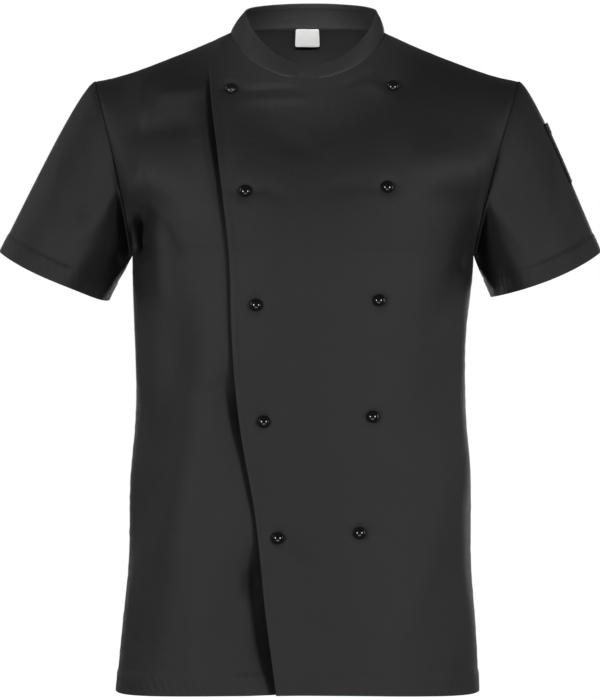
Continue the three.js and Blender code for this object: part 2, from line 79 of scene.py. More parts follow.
# %% [markdown]
# ## Studio light
# Black cloth shows its shape only by how light falls off over it. Two softboxes stand to the left and
# right of the camera at chest height, so the fronts are evenly lit, the shoulders that face up are a
# shade darker and the undersides of the sleeves go black. They also put the pair of highlights on each
# stud. A broad, weak one low in front stands in for light off the floor, and two at the sides lift the
# flanks. Two more behind draw a faint light edge on the outline and keep the back readable. A narrow
# lamp over the camera looks into the neck, which the collar would otherwise leave black. The background
# is a plain white world that only the camera sees at full strength, because a bright world all round
# would turn black cloth grey.

# %% Softboxes
STAGE_CENTRE = Vector((0, 0, -0.34))


def add_softbox(name, azimuth, elevation, distance, width, height, power):
    """A rectangular light at a bearing from the middle of the jacket, turned to face it."""
    data = bpy.data.lights.new(name, "AREA")
    data.shape = "RECTANGLE"
    data.size = width
    data.size_y = height
    data.energy = power
    light = add_object(name, data)
    turn = math.radians(azimuth)
    lift = math.radians(elevation)
    level = math.cos(lift)
    outward = Vector((math.sin(turn) * level, -math.cos(turn) * level, math.sin(lift)))
    light.location = STAGE_CENTRE + outward * distance
    light.rotation_euler = outward.to_track_quat("Z", "Y").to_euler()


SOFTBOXES = (
    dict(name="softbox_left", azimuth=-37, elevation=1, distance=2.3, width=0.55, height=0.7, power=16),
    dict(name="softbox_right", azimuth=38, elevation=1, distance=2.3, width=0.55, height=0.7, power=15),
    dict(name="low_bounce", azimuth=0, elevation=-36, distance=2.4, width=2.0, height=1.0, power=8),
    dict(name="side_left", azimuth=-104, elevation=20, distance=2.4, width=1.6, height=1.4, power=7.5),
    dict(name="side_right", azimuth=100, elevation=4, distance=2.4, width=1.6, height=1.4, power=7),
    dict(name="back_left", azimuth=-160, elevation=4, distance=2.6, width=0.9, height=1.4, power=12),
    dict(name="back_right", azimuth=158, elevation=4, distance=2.6, width=0.9, height=1.4, power=15),
)
for softbox in SOFTBOXES:
    add_softbox(**softbox)

# %% Lamp into the neck
NECK_LAMP = dict(
    place=(0.0, -2.4, 0.5), aim=(0.002, 0.03, -0.016), power=1000, spread=2.3, blend=0.6, size=0.1)

neck_data = bpy.data.lights.new("neck_light", "SPOT")
neck_data.energy = NECK_LAMP["power"]
neck_data.spot_size = math.radians(NECK_LAMP["spread"])
neck_data.spot_blend = NECK_LAMP["blend"]
neck_data.shadow_soft_size = NECK_LAMP["size"]
neck_light = add_object("neck_light", neck_data)
neck_light.location = NECK_LAMP["place"]
neck_way = Vector(NECK_LAMP["aim"]) - neck_light.location
neck_light.rotation_euler = neck_way.to_track_quat("-Z", "Y").to_euler()
print("lights:", len(SOFTBOXES) + 1)

# %% White world
AMBIENT = 0.05

bpy.context.scene.view_settings.view_transform = "Standard"
world = bpy.data.worlds.new("studio")
bpy.context.scene.world = world
world.use_nodes = True
world_nodes = world.node_tree.nodes
world_links = world.node_tree.links
world_nodes.clear()


def add_background(strength):
    made = world_nodes.new("ShaderNodeBackground")
    made.inputs["Color"].default_value = (1, 1, 1, 1)
    made.inputs["Strength"].default_value = strength
    return made


seen = add_background(1.0)
ambient = add_background(AMBIENT)
which_ray = world_nodes.new("ShaderNodeLightPath")
mixed = world_nodes.new("ShaderNodeMixShader")
world_out = world_nodes.new("ShaderNodeOutputWorld")
world_links.new(which_ray.outputs["Is Camera Ray"], mixed.inputs[0])
world_links.new(ambient.outputs[0], mixed.inputs[1])
world_links.new(seen.outputs[0], mixed.inputs[2])
world_links.new(mixed.outputs[0], world_out.inputs["Surface"])
print("ambient light:", AMBIENT)

# %% [markdown]
# ## Shader maths in plain Python
# A material is a graph of nodes, and a long graph is hard to read when every sum is three lines of code.
# This small class wraps a socket and gives it the arithmetic operators, so that `1 - mask * 0.5` builds
# its own Math nodes. Colours do not go through Math nodes, which would turn them grey; they are mixed
# with Mix nodes.

# %% Material helpers
class Socket:
    """A node's output that can be used in sums."""

    def __init__(self, maker, output):
        self.maker = maker
        self.output = output

    def _math(self, operation, *values):
        return self.maker.node("ShaderNodeMath", dict(operation=operation), dict(enumerate(values)))

    def __add__(self, other):
        return self._math("ADD", self, other)

    def __radd__(self, other):
        return self._math("ADD", other, self)

    def __sub__(self, other):
        return self._math("SUBTRACT", self, other)

    def __rsub__(self, other):
        return self._math("SUBTRACT", other, self)

    def __mul__(self, other):
        return self._math("MULTIPLY", self, other)

    def __rmul__(self, other):
        return self._math("MULTIPLY", other, self)

    def sine(self):
        return self._math("SINE", self)


class Finish:
    """A material under construction."""

    def __init__(self, name):
        self.material = bpy.data.materials.new(name)
        self.material.use_nodes = True
        self.tree = self.material.node_tree
        self.tree.nodes.clear()

    def node(self, kind, settings=None, values=None, output=0):
        made = self.tree.nodes.new(kind)
        for key, value in (settings or {}).items():
            setattr(made, key, value)
        for key, value in (values or {}).items():
            if isinstance(value, Socket):
                self.tree.links.new(value.output, made.inputs[key])
            else:
                made.inputs[key].default_value = value
        return Socket(self, made.outputs[output])

    def mix_colour(self, factor, one, two):
        return self.node("ShaderNodeMix", dict(data_type="RGBA"), {0: factor, 6: one, 7: two}, output=2)

    def noise(self, vector, scale, detail, **more):
        return self.node(
            "ShaderNodeTexNoise", None, {"Vector": vector, "Scale": scale, "Detail": detail, **more})

    def clamped(self, operation, one, two):
        return self.node("ShaderNodeMath", dict(operation=operation, use_clamp=True), {0: one, 1: two})

    def uv_axes(self):
        """The two directions of the piece's own UV map, in metres along the cloth."""
        uv = self.node("ShaderNodeTexCoord", output="UV")
        across = self.node("ShaderNodeSeparateXYZ", None, {0: uv})
        return uv, across, Socket(self, across.output.node.outputs[1])

    def close(self, shader):
        end = self.tree.nodes.new("ShaderNodeOutputMaterial")
        self.tree.links.new(shader.output, end.inputs["Surface"])
        return self.material


def grey(level, tint=0.0):
    return (level, level, level * (1 + tint), 1)

# %% [markdown]
# ## Black twill
# The jacket is a matt black cotton twill. Three things make it look like cloth: fine diagonal ribs from
# the weave, a dusty sheen from loose fibre ends, and slight unevenness where the cloth is rubbed or
# pressed. The ribs follow the cloth through its own UV map, laid out in metres, so they bend round folds
# as threads do. A picture of cloth would repeat and blur up close, so the ribs are worked out from sine
# waves instead. `wear` is an attribute that each piece paints along its hems and edges, where black
# cloth goes a little grey.

# %% Twill finish
FULL_TURN = 2 * math.pi
RIBS_PER_METRE = 1300
THREADS_PER_METRE = 2210
ROPING_PER_METRE = 105
# How high each part of the surface stands, in millimetres
RELIEF = dict(ribs=0.022, threads=0.012, rumple=1.0, roping=0.08)


def make_twill(name, base, worn, sheen):
    finish = Finish(name)
    uv, across, up = finish.uv_axes()
    place = finish.node("ShaderNodeTexCoord", output="Object")
    wear = finish.node("ShaderNodeAttribute", dict(attribute_name="wear"), output="Fac")
    hem = finish.node("ShaderNodeAttribute", dict(attribute_name="hem"), output="Fac")

    clouds = finish.noise(place, 9.0, 3.0)
    flecks = finish.noise(place, 420.0, 2.0)
    ribs = ((across + up) * (RIBS_PER_METRE * FULL_TURN)).sine()
    threads = ((across * 0.8 - up) * (THREADS_PER_METRE * FULL_TURN)).sine()
    rumple = finish.noise(place, 34.0, 4.0, Roughness=0.55, Distortion=0.6)
    roping = ((across + up * 0.55) * (ROPING_PER_METRE * FULL_TURN) + clouds * 7).sine() * hem

    rubbed = finish.clamped("MULTIPLY", wear, flecks * 1.5)
    uneven = finish.clamped("ADD", clouds * 0.55, flecks * 0.45)
    colour = finish.mix_colour(uneven, grey(base * 0.82, 0.04), grey(base * 1.18, 0.04))
    colour = finish.mix_colour(rubbed, colour, grey(worn, 0.03))

    height = (ribs * RELIEF["ribs"] + threads * RELIEF["threads"]
              + rumple * RELIEF["rumple"] + roping * RELIEF["roping"])
    normal = finish.node("ShaderNodeBump", None, {"Height": height, "Strength": 1.0, "Distance": MM})
    shader = finish.node("ShaderNodeBsdfPrincipled", None, {
        "Base Color": colour,
        "Roughness": 0.52 + clouds * 0.12,
        "Specular IOR Level": 0.5,
        "Sheen Weight": sheen,
        "Sheen Roughness": 0.45,
        "Normal": normal,
    })
    return finish.close(shader)


twill = make_twill("black_twill", base=0.018, worn=0.04, sheen=0.06)
thread_black = make_twill("black_thread", base=0.016, worn=0.03, sheen=0.05)
print("finishes:", twill.name, thread_black.name)

# %% [markdown]
# ## The form, part 1: sections of the body
# A body panel is measured the way a dressmaker measures a figure: a row of girths from hem to underarm,
# each with a half width, a depth in front and a depth behind. A smooth curve runs through each column of
# the table. The same numbers shape the engineering model, so that the cloth keeps to its form and only
# the folds differ. All work is in millimetres until a mesh is made.

# %% Tables for the form
CLOTH = 1.5
LAP_GAP = 1.0
SQUARENESS = 2.4
UNDERARM_Z = -241.0
LOWER_SHARE = 0.68
NECK_SHARE = 0.42
ROLL_SHARE = 0.75
ARMHOLE_BLEND = 0.35
HEM_RISE = 8.0
# height, lean, half width, depth in front, depth behind
BODY = np.array([
    (-718, -6.0, 199.0, 116, 121),
    (-650, -4.5, 194.0, 114, 118),
    (-577, -3.5, 188.0, 113, 112),
    (-490, -3.0, 187.0, 113, 103),
    (-420, -2.5, 181.5, 116, 98),
    (-335, -2.0, 180.5, 121, 103),
    (UNDERARM_Z, 0.0, 187.0, 124, 116),
], float)
SHOULDER = dict(lean=4.5, half=231.5, z=-50)
NECK = dict(lean=5, half=85, front=60, back=68, front_z=-53, side_z=4, back_z=17)
COLLAR_TOP = dict(lean=8.8, half=71.5, front=38, back=56, front_z=-36, side_z=28.6, back_z=43.6)
SHOULDER_DIP = 1.38
FRONT_ROLL = 60
BACK_ROLL = 74
ARMHOLE = dict(
    top_half=231.5, bottom_half=187, front=62, back=68, low_curve=1.3, levelling=0.35, squareness=2.2)
CUFF = dict(lean=-3, half=270, y=-8, z=-262, radius=64, depth=62, tilt=22.2, sag=7)
SLEEVE_PUFF = dict(most=6.5, outward=0.88, upward=0.47)
# height, x of the free edge of the upper front; height, x of the hidden edge of the lower front
FREE_EDGE = np.array([
    (-709, -28.5), (-620, -40), (-520, -50.5), (-430, -66),
    (-330, -75), (-240, -78), (-140, -90), (-41, -100)], float)
HIDDEN_EDGE = np.array([(-709, 74), (-419, 88.5), (-75, 108), (-41, 112)], float)
LAP_TOP = dict(centre_z=-53, rise=11, reach=100)


def smooth_table(rows, at):
    """Smooth curve through each column of a table against its first, level at the upper end."""
    z = rows[:, 0]
    values = rows[:, 1:]
    slope = np.zeros_like(values)
    slope[0] = (values[1] - values[0]) / (z[1] - z[0])
    slope[1:-1] = (values[2:] - values[:-2]) / (z[2:] - z[:-2])[:, None]
    at = np.clip(at, z[0], z[-1])
    k = np.clip(np.searchsorted(z, at, side="right") - 1, 0, len(z) - 2)
    step = (z[k + 1] - z[k])[..., None]
    t = ((at - z[k]))[..., None] / step
    return ((2 * t**3 - 3 * t**2 + 1) * values[k] + (t**3 - 2 * t**2 + t) * step * slope[k]
            + (3 * t**2 - 2 * t**3) * values[k + 1] + (t**3 - t**2) * step * slope[k + 1])


def smoothstep(x, low, high):
    t = np.clip((x - low) / (high - low), 0, 1)
    return t * t * (3 - 2 * t)


def lerp(a, b, t):
    return a + (b - a) * t


def points(x, y, z):
    return np.stack(np.broadcast_arrays(x, y, z), axis=-1)


def unit(v):
    return v / np.maximum(np.linalg.norm(v, axis=-1, keepdims=True), 1e-9)


WAIST_Z = -420.0
girth = smooth_table(BODY, np.array([UNDERARM_Z, WAIST_Z]))
print("half widths at underarm and waist, mm:", girth[:, 1].round(1))

# %% [markdown]
# ## The form, part 2: neck, shoulders and armholes
# Above the underarm a panel has to roll from the chest up and over to the shoulder seam, and its sides
# have to land on the armhole. The roll is a quarter turn between the underarm section and the top edge.
# The panel is then pulled sideways onto the armhole curve, fully at its edge and not at all in the
# middle. `front` is an array of true and false, so one call can serve both panels where they meet at a
# seam.

# %% Neck ring, top edge, armhole
def ring_point(ring, degrees):
    angle = np.radians(degrees)
    ahead = np.cos(angle)
    drop = 0.6 * (1 - ahead) + 0.4 * np.sin(angle) ** 2
    z = np.where(
        ahead > 0, lerp(ring["front_z"], ring["side_z"], drop), lerp(ring["side_z"], ring["back_z"], -ahead))
    depth = np.where(ahead > 0, ring["front"], ring["back"])
    return points(ring["lean"] + ring["half"] * np.sin(angle), -ahead * depth, z)


def neck_angle(front, column):
    share = 90 * column / NECK_SHARE
    return np.where(front, share, 180 - share)


def top_edge(front, column):
    away = np.abs(column)
    side = np.where(column < 0, -1.0, 1.0)
    on_neck = ring_point(NECK, neck_angle(front, np.clip(column, -NECK_SHARE, NECK_SHARE)))
    inward = np.clip((1 - away) / (1 - NECK_SHARE), 0, 1)
    neck_end = ring_point(NECK, side * 90)
    seam = points(
        lerp(SHOULDER["lean"] + side * SHOULDER["half"], neck_end[..., 0], inward),
        neck_end[..., 1] * inward,
        SHOULDER["z"] + (neck_end[..., 2] - SHOULDER["z"]) * inward ** SHOULDER_DIP)
    return np.where((away <= NECK_SHARE)[..., None], on_neck, seam)


def armhole_point(side, front, degrees):
    angle = np.radians(degrees)
    share = (1 + np.cos(angle)) / 2
    bulge = np.clip(np.sin(angle), 0, 1) ** (2 / ARMHOLE["squareness"])
    half = lerp(ARMHOLE["bottom_half"], ARMHOLE["top_half"], share ** ARMHOLE["low_curve"])
    depth = np.where(front, -ARMHOLE["front"], ARMHOLE["back"])
    z = lerp(UNDERARM_Z, SHOULDER["z"], share)
    return points(SHOULDER["lean"] * share + side * half, depth * bulge, z)


def armhole_angle(up):
    level = np.degrees(np.arccos(np.clip(2 * np.sin(up * np.pi / 2) - 1, -1, 1)))
    return lerp(180 * (1 - up), level, ARMHOLE["levelling"])


print("shoulder points, mm:", top_edge(True, np.array([-1.0, 1.0]))[:, 0].round(1))

# %% Bare form of a panel
def section_point(front, column, z):
    row = smooth_table(BODY, z)
    turn = np.sin(column * np.pi / 2)
    reach = np.clip(1 - np.abs(turn) ** SQUARENESS, 0, 1) ** (1 / SQUARENESS)
    y = np.where(front, -row[..., 2], row[..., 3]) * reach
    return points(row[..., 0] + row[..., 1] * turn, y, z)


def rising_point(front, column, up):
    base = section_point(front, column, np.full_like(column, UNDERARM_Z))
    top = top_edge(front, column)
    eased = smoothstep(ROLL_SHARE - np.abs(column), 0, ROLL_SHARE)
    roll = np.radians(lerp(90, np.where(front, FRONT_ROLL, BACK_ROLL), eased))
    across = (1 - np.cos(roll * up)) / (1 - np.cos(roll))
    rise = np.sin(roll * up) / np.sin(roll)
    return points(
        lerp(base[..., 0], top[..., 0], across),
        lerp(base[..., 1], top[..., 1], across),
        lerp(base[..., 2], top[..., 2], rise))


def bare_point(front, column, row):
    """The form without folds: column -1..1 across, row 0..1 from hem to top edge."""
    front, column, row = np.broadcast_arrays(front, column, row)
    column = np.array(column, float)
    row = np.array(row, float)
    over = row > 1
    front = np.where(over, ~front, front)
    row = np.where(over, 2 - row, row)
    past = (np.abs(column) > 1) & (row <= LOWER_SHARE)
    front = np.where(past, ~front, front)
    column = np.where(past, np.sign(column) * 2 - column, column)
    middle = np.cos(column * np.pi / 2) ** 2
    hem = BODY[0, 0] + np.where(front, HEM_RISE * middle, 0)
    low = section_point(front, column, lerp(hem, UNDERARM_Z, np.clip(row / LOWER_SHARE, 0, 1)))
    up = np.clip((row - LOWER_SHARE) / (1 - LOWER_SHARE), 0, 1)
    side = np.where(column < 0, -1.0, 1.0)
    high = rising_point(front, column, up)
    edge = armhole_point(side, front, armhole_angle(up)) - rising_point(front, side, up)
    eased = lerp(smoothstep(up, 0, ARMHOLE_BLEND), 1, np.abs(column) ** 8)
    high = high + edge * (column * column * eased)[..., None]
    return np.where((row <= LOWER_SHARE)[..., None], low, high)


STEP = 0.004


def form_normal(front, column, row):
    """Outward unit normal of the bare form."""
    front, column, row = np.broadcast_arrays(front, column, row)
    limit = np.where(row <= LOWER_SHARE, 2.0, 1.0)
    top = np.where(np.abs(column) > NECK_SHARE, 2.0, 1.0)
    along = (bare_point(front, np.minimum(column + STEP, limit), row)
             - bare_point(front, np.maximum(column - STEP, -limit), row))
    upward = (bare_point(front, column, np.minimum(row + STEP, top))
              - bare_point(front, column, np.maximum(row - STEP, 0)))
    normal = unit(np.cross(along, upward))
    return np.where(front[..., None], normal, -normal)


print("chest point, mm:", bare_point(True, np.array(0.0), np.array(LOWER_SHARE)).round(1))

# %% [markdown]
# ## The form, part 3: sleeves and collar
# A set-in sleeve starts on the armhole and ends in the cuff ring, so a straight blend between the two, a
# little fuller on the outside of the arm, gives its shape. The collar is a band between two neck rings
# that leans inward. Both are functions of an angle round and a share along, which later makes hems and
# stitches easy.

# %% Sleeve and collar forms
def sleeve_point(side, around, along):
    around = np.mod(around, 360)
    front = around <= 180
    start = armhole_point(side, front, np.where(front, around, 360 - around))
    angle = np.radians(around)
    tilt = math.radians(CUFF["tilt"])
    out = CUFF["radius"] * np.cos(angle)
    sag = CUFF["sag"] * np.sin(angle) ** 2
    end = points(
        CUFF["lean"] + side * (CUFF["half"] + out * math.cos(tilt) + sag * math.sin(tilt)),
        CUFF["y"] - CUFF["depth"] * np.sin(angle),
        CUFF["z"] + out * math.sin(tilt) - sag * math.cos(tilt))
    along = np.asarray(along, float)
    puff = SLEEVE_PUFF["most"] * np.sin(np.pi * np.sqrt(along)) * np.clip(np.cos(angle), 0, 1)
    fuller = points(side * puff * SLEEVE_PUFF["outward"], 0, puff * SLEEVE_PUFF["upward"])
    return lerp(start, end, along[..., None]) + fuller


def sleeve_normal(side, around, along):
    roundward = sleeve_point(side, around + 1, along) - sleeve_point(side, around - 1, along)
    downward = (sleeve_point(side, around, np.minimum(along + STEP, 1))
                - sleeve_point(side, around, np.maximum(along - STEP, 0)))
    return unit(np.cross(roundward, downward)) * side


def collar_point(around, up):
    return lerp(ring_point(NECK, around), ring_point(COLLAR_TOP, around), np.asarray(up, float)[..., None])


def collar_normal(around, up):
    roundward = collar_point(around + 1, up) - collar_point(around - 1, up)
    upward = collar_point(around, np.ones_like(around)) - collar_point(around, np.zeros_like(around))
    return unit(np.cross(roundward, upward))


print("cuff tip, mm:", sleeve_point(1, np.array(0.0), np.array(1.0)).round(1))

# %% [markdown]
# ## Creases
# Cloth on a figure never hangs clean. It drags from the armpits towards the waist, dips beside the free
# edge between two studs and buckles over the hip. Each crease here is a soft trough or ridge along a
# straight run, with its own width and depth, fading at both ends. Listing them one by one gives uneven,
# believable drag lines, where a simulation would give a different drape each time a size changes.

# %% Crease tables and their height
# from (x0, z0) to (x1, z1), width across, depth: out is positive
FRONT_CREASES = np.array([
    (-128, -285, -186, -585, 26, -9),
    (-98, -330, -150, -640, 24, 4),
    (-185, -250, -150, -430, 22, 4),
    (150, -270, 158, -430, 22, -5),
    (176, -420, 120, -640, 26, 4),
    (-60, -560, -70, -690, 24, -4),
    (-160, -72, -100, -66, 9, 3.2),
    (-198, -114, -110, -98, 18, -5.0),
    (-204, -158, -116, -172, 22, 3.5),
    (108, -154, 226, -142, 34, 7.0),
    (112, -192, 226, -176, 13, -1.6),
    (-158, -196, -150, -300, 8, 2.4),
    (-170, -190, -128, -250, 7, -2.0),
    (-186, -300, -178, -395, 8, 1.8),
    (176, -215, 150, -330, 9, -2.6),
    (186, -150, 196, -196, 6, -3.2),
    (184, -300, 172, -420, 8, 1.6),
    (-70, -380, -118, -402, 11, -2.6),
    (-46, -575, -84, -650, 13, -3.2),
    (-88, -90, -86, -190, 9, -2.6),
    (-66, -71, 2, -62, 5, -2.2),
    (-66, -80, 10, -77, 6, 1.2),
    (96, -74, 40, -44, 7, 2.4),
    (78, -46, 42, -60, 6, -2.8),
    (20, -175, 84, -168, 10, -1.0),
    (-55, -170, -15, -186, 9, -1.0),
    (-30, -118, 10, -140, 12, -1.2),
    (-44, -300, 24, -312, 11, -1.0),
    (-36, -424, 40, -440, 12, 1.0),
    (-22, -548, 14, -570, 6, -2.2),
    (66, -540, 120, -575, 12, -1.2),
    (166, -262, 170, -400, 9, -2.2),
    (178, -480, 190, -620, 12, -2.0),
    (150, -600, 168, -700, 16, 2.0),
    (-150, -560, -178, -690, 16, -2.2),
    (-110, -600, -120, -705, 14, 1.6),
    (20, -600, 34, -700, 18, -1.4),
], float)
BACK_CREASES = np.array([
    (-120, -260, -170, -560, 28, -6),
    (125, -270, 165, -590, 28, -6),
    (-40, -330, -70, -600, 30, 4),
    (45, -380, 60, -640, 30, 4),
    (-140, -424, 120, -452, 34, -3.4),
    (-176, -215, -130, -330, 9, -3.0),
    (-165, -200, -100, -262, 8, -2.0),
    (178, -210, 140, -345, 10, -3.0),
    (160, -205, 104, -250, 8, -1.6),
    (-90, -400, 70, -390, 14, 1.0),
    (-90, -470, 20, -492, 14, -1.8),
    (30, -470, 130, -455, 12, -1.6),
    (-178, -420, -150, -560, 12, 2.0),
    (176, -430, 158, -600, 14, 2.0),
    (-20, -560, -30, -700, 20, -1.6),
    (90, -590, 104, -705, 18, -2.0),
    (-120, -600, -110, -700, 16, 1.6),
    (-150, -60, -60, -36, 12, -1.4),
    (140, -58, 64, -30, 12, -1.2),
    (-190, -120, -150, -180, 10, 1.8),
    (190, -130, 158, -190, 10, 1.6),
], float)


def crease_height(creases, x, z):
    """Sum of the troughs and ridges of a table at each place."""
    height = np.zeros(np.broadcast(x, z).shape)
    for x0, z0, x1, z1, width, depth in creases:
        run_x = x1 - x0
        run_z = z1 - z0
        length = math.hypot(run_x, run_z)
        along = ((x - x0) * run_x + (z - z0) * run_z) / length**2
        beside = ((x - x0) * run_z - (z - z0) * run_x) / length
        inside = smoothstep(along, -0.12, 0.3) * smoothstep(1 - along, -0.12, 0.3)
        height = height + depth * inside * np.exp(-((beside / width) ** 2))
    return height


RIPPLE_WAVES = 7


def ripple(x, z, seed, size):
    """Slow unevenness of hanging cloth, the same each time for one seed."""
    random = np.random.default_rng(seed)
    height = np.zeros(np.broadcast(x, z).shape)
    for _ in range(RIPPLE_WAVES):
        angle = random.uniform(-0.5, 0.5)
        length = random.uniform(0.6, 1.8) * size
        phase = random.uniform(0, FULL_TURN)
        along = x * math.cos(angle) + z * math.sin(angle) * 0.7
        height = height + np.sin(along * FULL_TURN / length + phase)
    return height / RIPPLE_WAVES


# height, x near the free edge, x in the inner column
STUD_ROWS = np.array([
    (-67, -77, 96), (-178, -61, 89.5), (-298, -49.5, 80.5), (-421, -41.5, 74), (-544, -27, 60)], float)
INNER_RISE = 5.0
DIMPLE = dict(depth=3.2, reach=9.0, drag=15.0, drag_height=3.5, drag_depth=0.7)


def stud_dimples(x, z):
    """The cloth is pulled in round each stud, and drags a little to both sides of it."""
    height = np.zeros(np.broadcast(x, z).shape)
    for stud_z, edge_x, inner_x in STUD_ROWS:
        for at_x, at_z in ((edge_x, stud_z), (inner_x, stud_z + INNER_RISE)):
            near = np.exp(-(((x - at_x) ** 2 + (z - at_z) ** 2) / DIMPLE["reach"] ** 2))
            beside = np.exp(
                -(((x - at_x) / DIMPLE["drag"]) ** 2 + ((z - at_z) / DIMPLE["drag_height"]) ** 2))
            height = height - DIMPLE["depth"] * near - DIMPLE["drag_depth"] * beside
    return height


# The same six measures for the hollows close beside the armhole seams, which run straight in
FRONT_TUCKS = np.array([
    (-173, -196, -173, -246, 8, -36), (175, -236, 170, -262, 6, -7)], float)
BACK_TUCKS = np.array([
    (-174, -205, -170, -262, 7, -8), (176, -200, 170, -262, 7, -9)], float)
# Shares of the panel over which folds fade towards the sides, the top and, for tucks, the armhole seam
FADE = dict(side=0.16, top=0.06, tuck=0.03)
BODY_RIPPLE = dict(height=0.7, size=90, front_seed=3, back_seed=5)


def body_point(front, column, row):
    """The form with its folds."""
    point = bare_point(front, column, row)
    creases = FRONT_CREASES if front else BACK_CREASES
    from_side = 1 - np.abs(column)
    fade = smoothstep(from_side, 0, FADE["side"]) * smoothstep(1 - row, 0, FADE["top"])
    x = point[..., 0]
    z = point[..., 2]
    seed = BODY_RIPPLE["front_seed" if front else "back_seed"]
    height = crease_height(creases, x, z) + BODY_RIPPLE["height"] * ripple(x, z, seed, BODY_RIPPLE["size"])
    if front:
        height = height + stud_dimples(x, z)
    point = point + form_normal(front, column, row) * (height * fade)[..., None]
    tucks = crease_height(FRONT_TUCKS if front else BACK_TUCKS, x, z) * smoothstep(from_side, 0, FADE["tuck"])
    point[..., 1] += -tucks if front else tucks
    return point


print("creases: front", len(FRONT_CREASES), "back", len(BACK_CREASES))

# %% [markdown]
# ## A wall of cloth
# Every cloth piece is a grid of points with a direction for its thickness at each one. The shell has an
# outer and an inner face, and every open edge is rounded over, because a cut edge is always folded in
# before it is sewn. Solidify would give the same wall with square edges; working the two faces out here
# lets hems be thicker and lets seams sink in. The rows and columns crowd together near the edges, so the
# rounding has points to bend on.

# %% Cloth shell
EDGE_LINES = (0.0, 0.18, 0.5, 1.0, 1.9)


def spaced_shares(length, spacing, start_edge=True, end_edge=True):
    """Shares 0..1 along a run of that length, crowded near its edges."""
    count = max(2, round(length / spacing))
    shares = np.linspace(0, 1, count + 1)
    low = np.array(EDGE_LINES) / length if start_edge else np.array([0.0])
    high = 1 - np.array(EDGE_LINES)[::-1] / length if end_edge else np.array([1.0])
    margin = 0.6 / count
    middle = shares[(shares > low[-1] + margin) & (shares < high[0] - margin)]
    return np.concatenate([low, middle, high])


def distance_along(place, axis):
    """Distance run from the first row (axis 0) or column (axis 1) of a grid of points."""
    steps = np.linalg.norm(np.diff(place, axis=axis), axis=-1)
    return np.pad(np.cumsum(steps, axis=axis), ((1 - axis, 0), (axis, 0)))


class Cloth:
    """A grid of cloth: rows x columns of points, with distances from each edge in millimetres."""

    def __init__(self, name, place, normal, closed=False):
        self.name = name
        self.place = place
        self.normal = normal
        self.closed = closed
        self.left = distance_along(place, 1)
        self.low = distance_along(place, 0)
        self.right = self.left[:, -1:] - self.left
        self.high = self.low[-1:, :] - self.low
        self.lift, self.extra, self.wear, self.hem = np.zeros((4, *place.shape[:2]))

    def nearest_edge(self):
        distances = [self.low, self.high]
        if not self.closed:
            distances += [self.left, self.right]
        return np.min(distances, axis=0)

    def outer(self):
        return self.place + self.normal * self.lift[..., None]

    def area(self):
        a = self.place[:-1, :-1]
        cross = np.cross(self.place[1:, 1:] - a, self.place[1:, :-1] - self.place[:-1, 1:])
        return float(np.linalg.norm(cross, axis=-1).sum() / 2) * MM * MM


# Shares: where an edge starts to round over, how thin it gets there, how much of any extra goes outward
EDGE_ROUNDING = 0.6
EDGE_THINNEST = 0.12
EXTRA_OUTWARD = 0.35


def build_cloth(cloth, thickness, material, flip=False):
    """The closed shell of a grid as a mesh object, in metres."""
    rows, columns = cloth.place.shape[:2]
    wall = thickness + cloth.extra
    rounding = np.clip(cloth.nearest_edge() / (thickness * EDGE_ROUNDING), 0, 1)
    half = wall / 2 * np.maximum(np.sqrt(1 - (1 - rounding) ** 2), EDGE_THINNEST)
    middle_lift = cloth.lift - thickness / 2 + cloth.extra * EXTRA_OUTWARD
    middle = cloth.place + cloth.normal * middle_lift[..., None]
    outer = middle + cloth.normal * half[..., None]
    inner = middle - cloth.normal * half[..., None]
    vertices = np.concatenate([outer.reshape(-1, 3), inner.reshape(-1, 3)]) * MM
    grid = np.arange(rows * columns).reshape(rows, columns)
    if cloth.closed:
        grid = np.concatenate([grid, grid[:, :1]], axis=1)
    a, b, c, d = (g.ravel() for g in (grid[:-1, :-1], grid[:-1, 1:], grid[1:, 1:], grid[1:, :-1]))
    face = np.stack([a, b, c, d], axis=1)
    if flip:
        face = face[:, ::-1]
    below = rows * columns
    faces = [face, face[:, ::-1] + below]

    def close_edge(line, turned):
        p, q = line[:-1], line[1:]
        strip = np.stack([q, p, p + below, q + below], axis=1)
        faces.append(strip[:, ::-1] if turned != flip else strip)

    close_edge(grid[0], False)
    close_edge(grid[-1], True)
    if not cloth.closed:
        close_edge(grid[:, 0], True)
        close_edge(grid[:, -1], False)
    faces = np.concatenate(faces)
    mesh = bpy.data.meshes.new(cloth.name)
    mesh.vertices.add(len(vertices))
    mesh.vertices.foreach_set("co", vertices.ravel())
    mesh.loops.add(faces.size)
    mesh.loops.foreach_set("vertex_index", faces.ravel().astype(np.int32))
    mesh.polygons.add(len(faces))
    mesh.polygons.foreach_set("loop_start", (np.arange(len(faces)) * 4).astype(np.int32))
    mesh.update(calc_edges=True)
    mesh.polygons.foreach_set("use_smooth", np.ones(len(faces), bool))
    across = np.concatenate([(cloth.left - cloth.left[:, -1:] / 2).ravel()] * 2) * MM
    upward = np.concatenate([cloth.low.ravel()] * 2) * MM
    corners = faces.ravel()
    layer = mesh.uv_layers.new(name="cloth")
    layer.data.foreach_set("uv", np.stack([across[corners], upward[corners]], axis=1).ravel())
    for title, values in (("wear", cloth.wear), ("hem", cloth.hem)):
        attribute = mesh.attributes.new(title, "FLOAT", "POINT")
        attribute.data.foreach_set("value", np.concatenate([values.ravel()] * 2).astype(np.float32))
    mesh.materials.append(material)
    mesh.validate()
    print(cloth.name, "faces", len(mesh.polygons), "area m2", round(cloth.area(), 4))
    return add_object(cloth.name, mesh)

# %% [markdown]
# ## Hems and seams
# A hem is the cloth turned up and stitched down: thicker, with a groove where the thread pulls it in and
# tiny diagonal ropes between the two. A seam is where two folded edges meet, so the cloth dips towards
# it and puckers a little. Both are worked out from the distance to an edge, which each grid already
# knows.

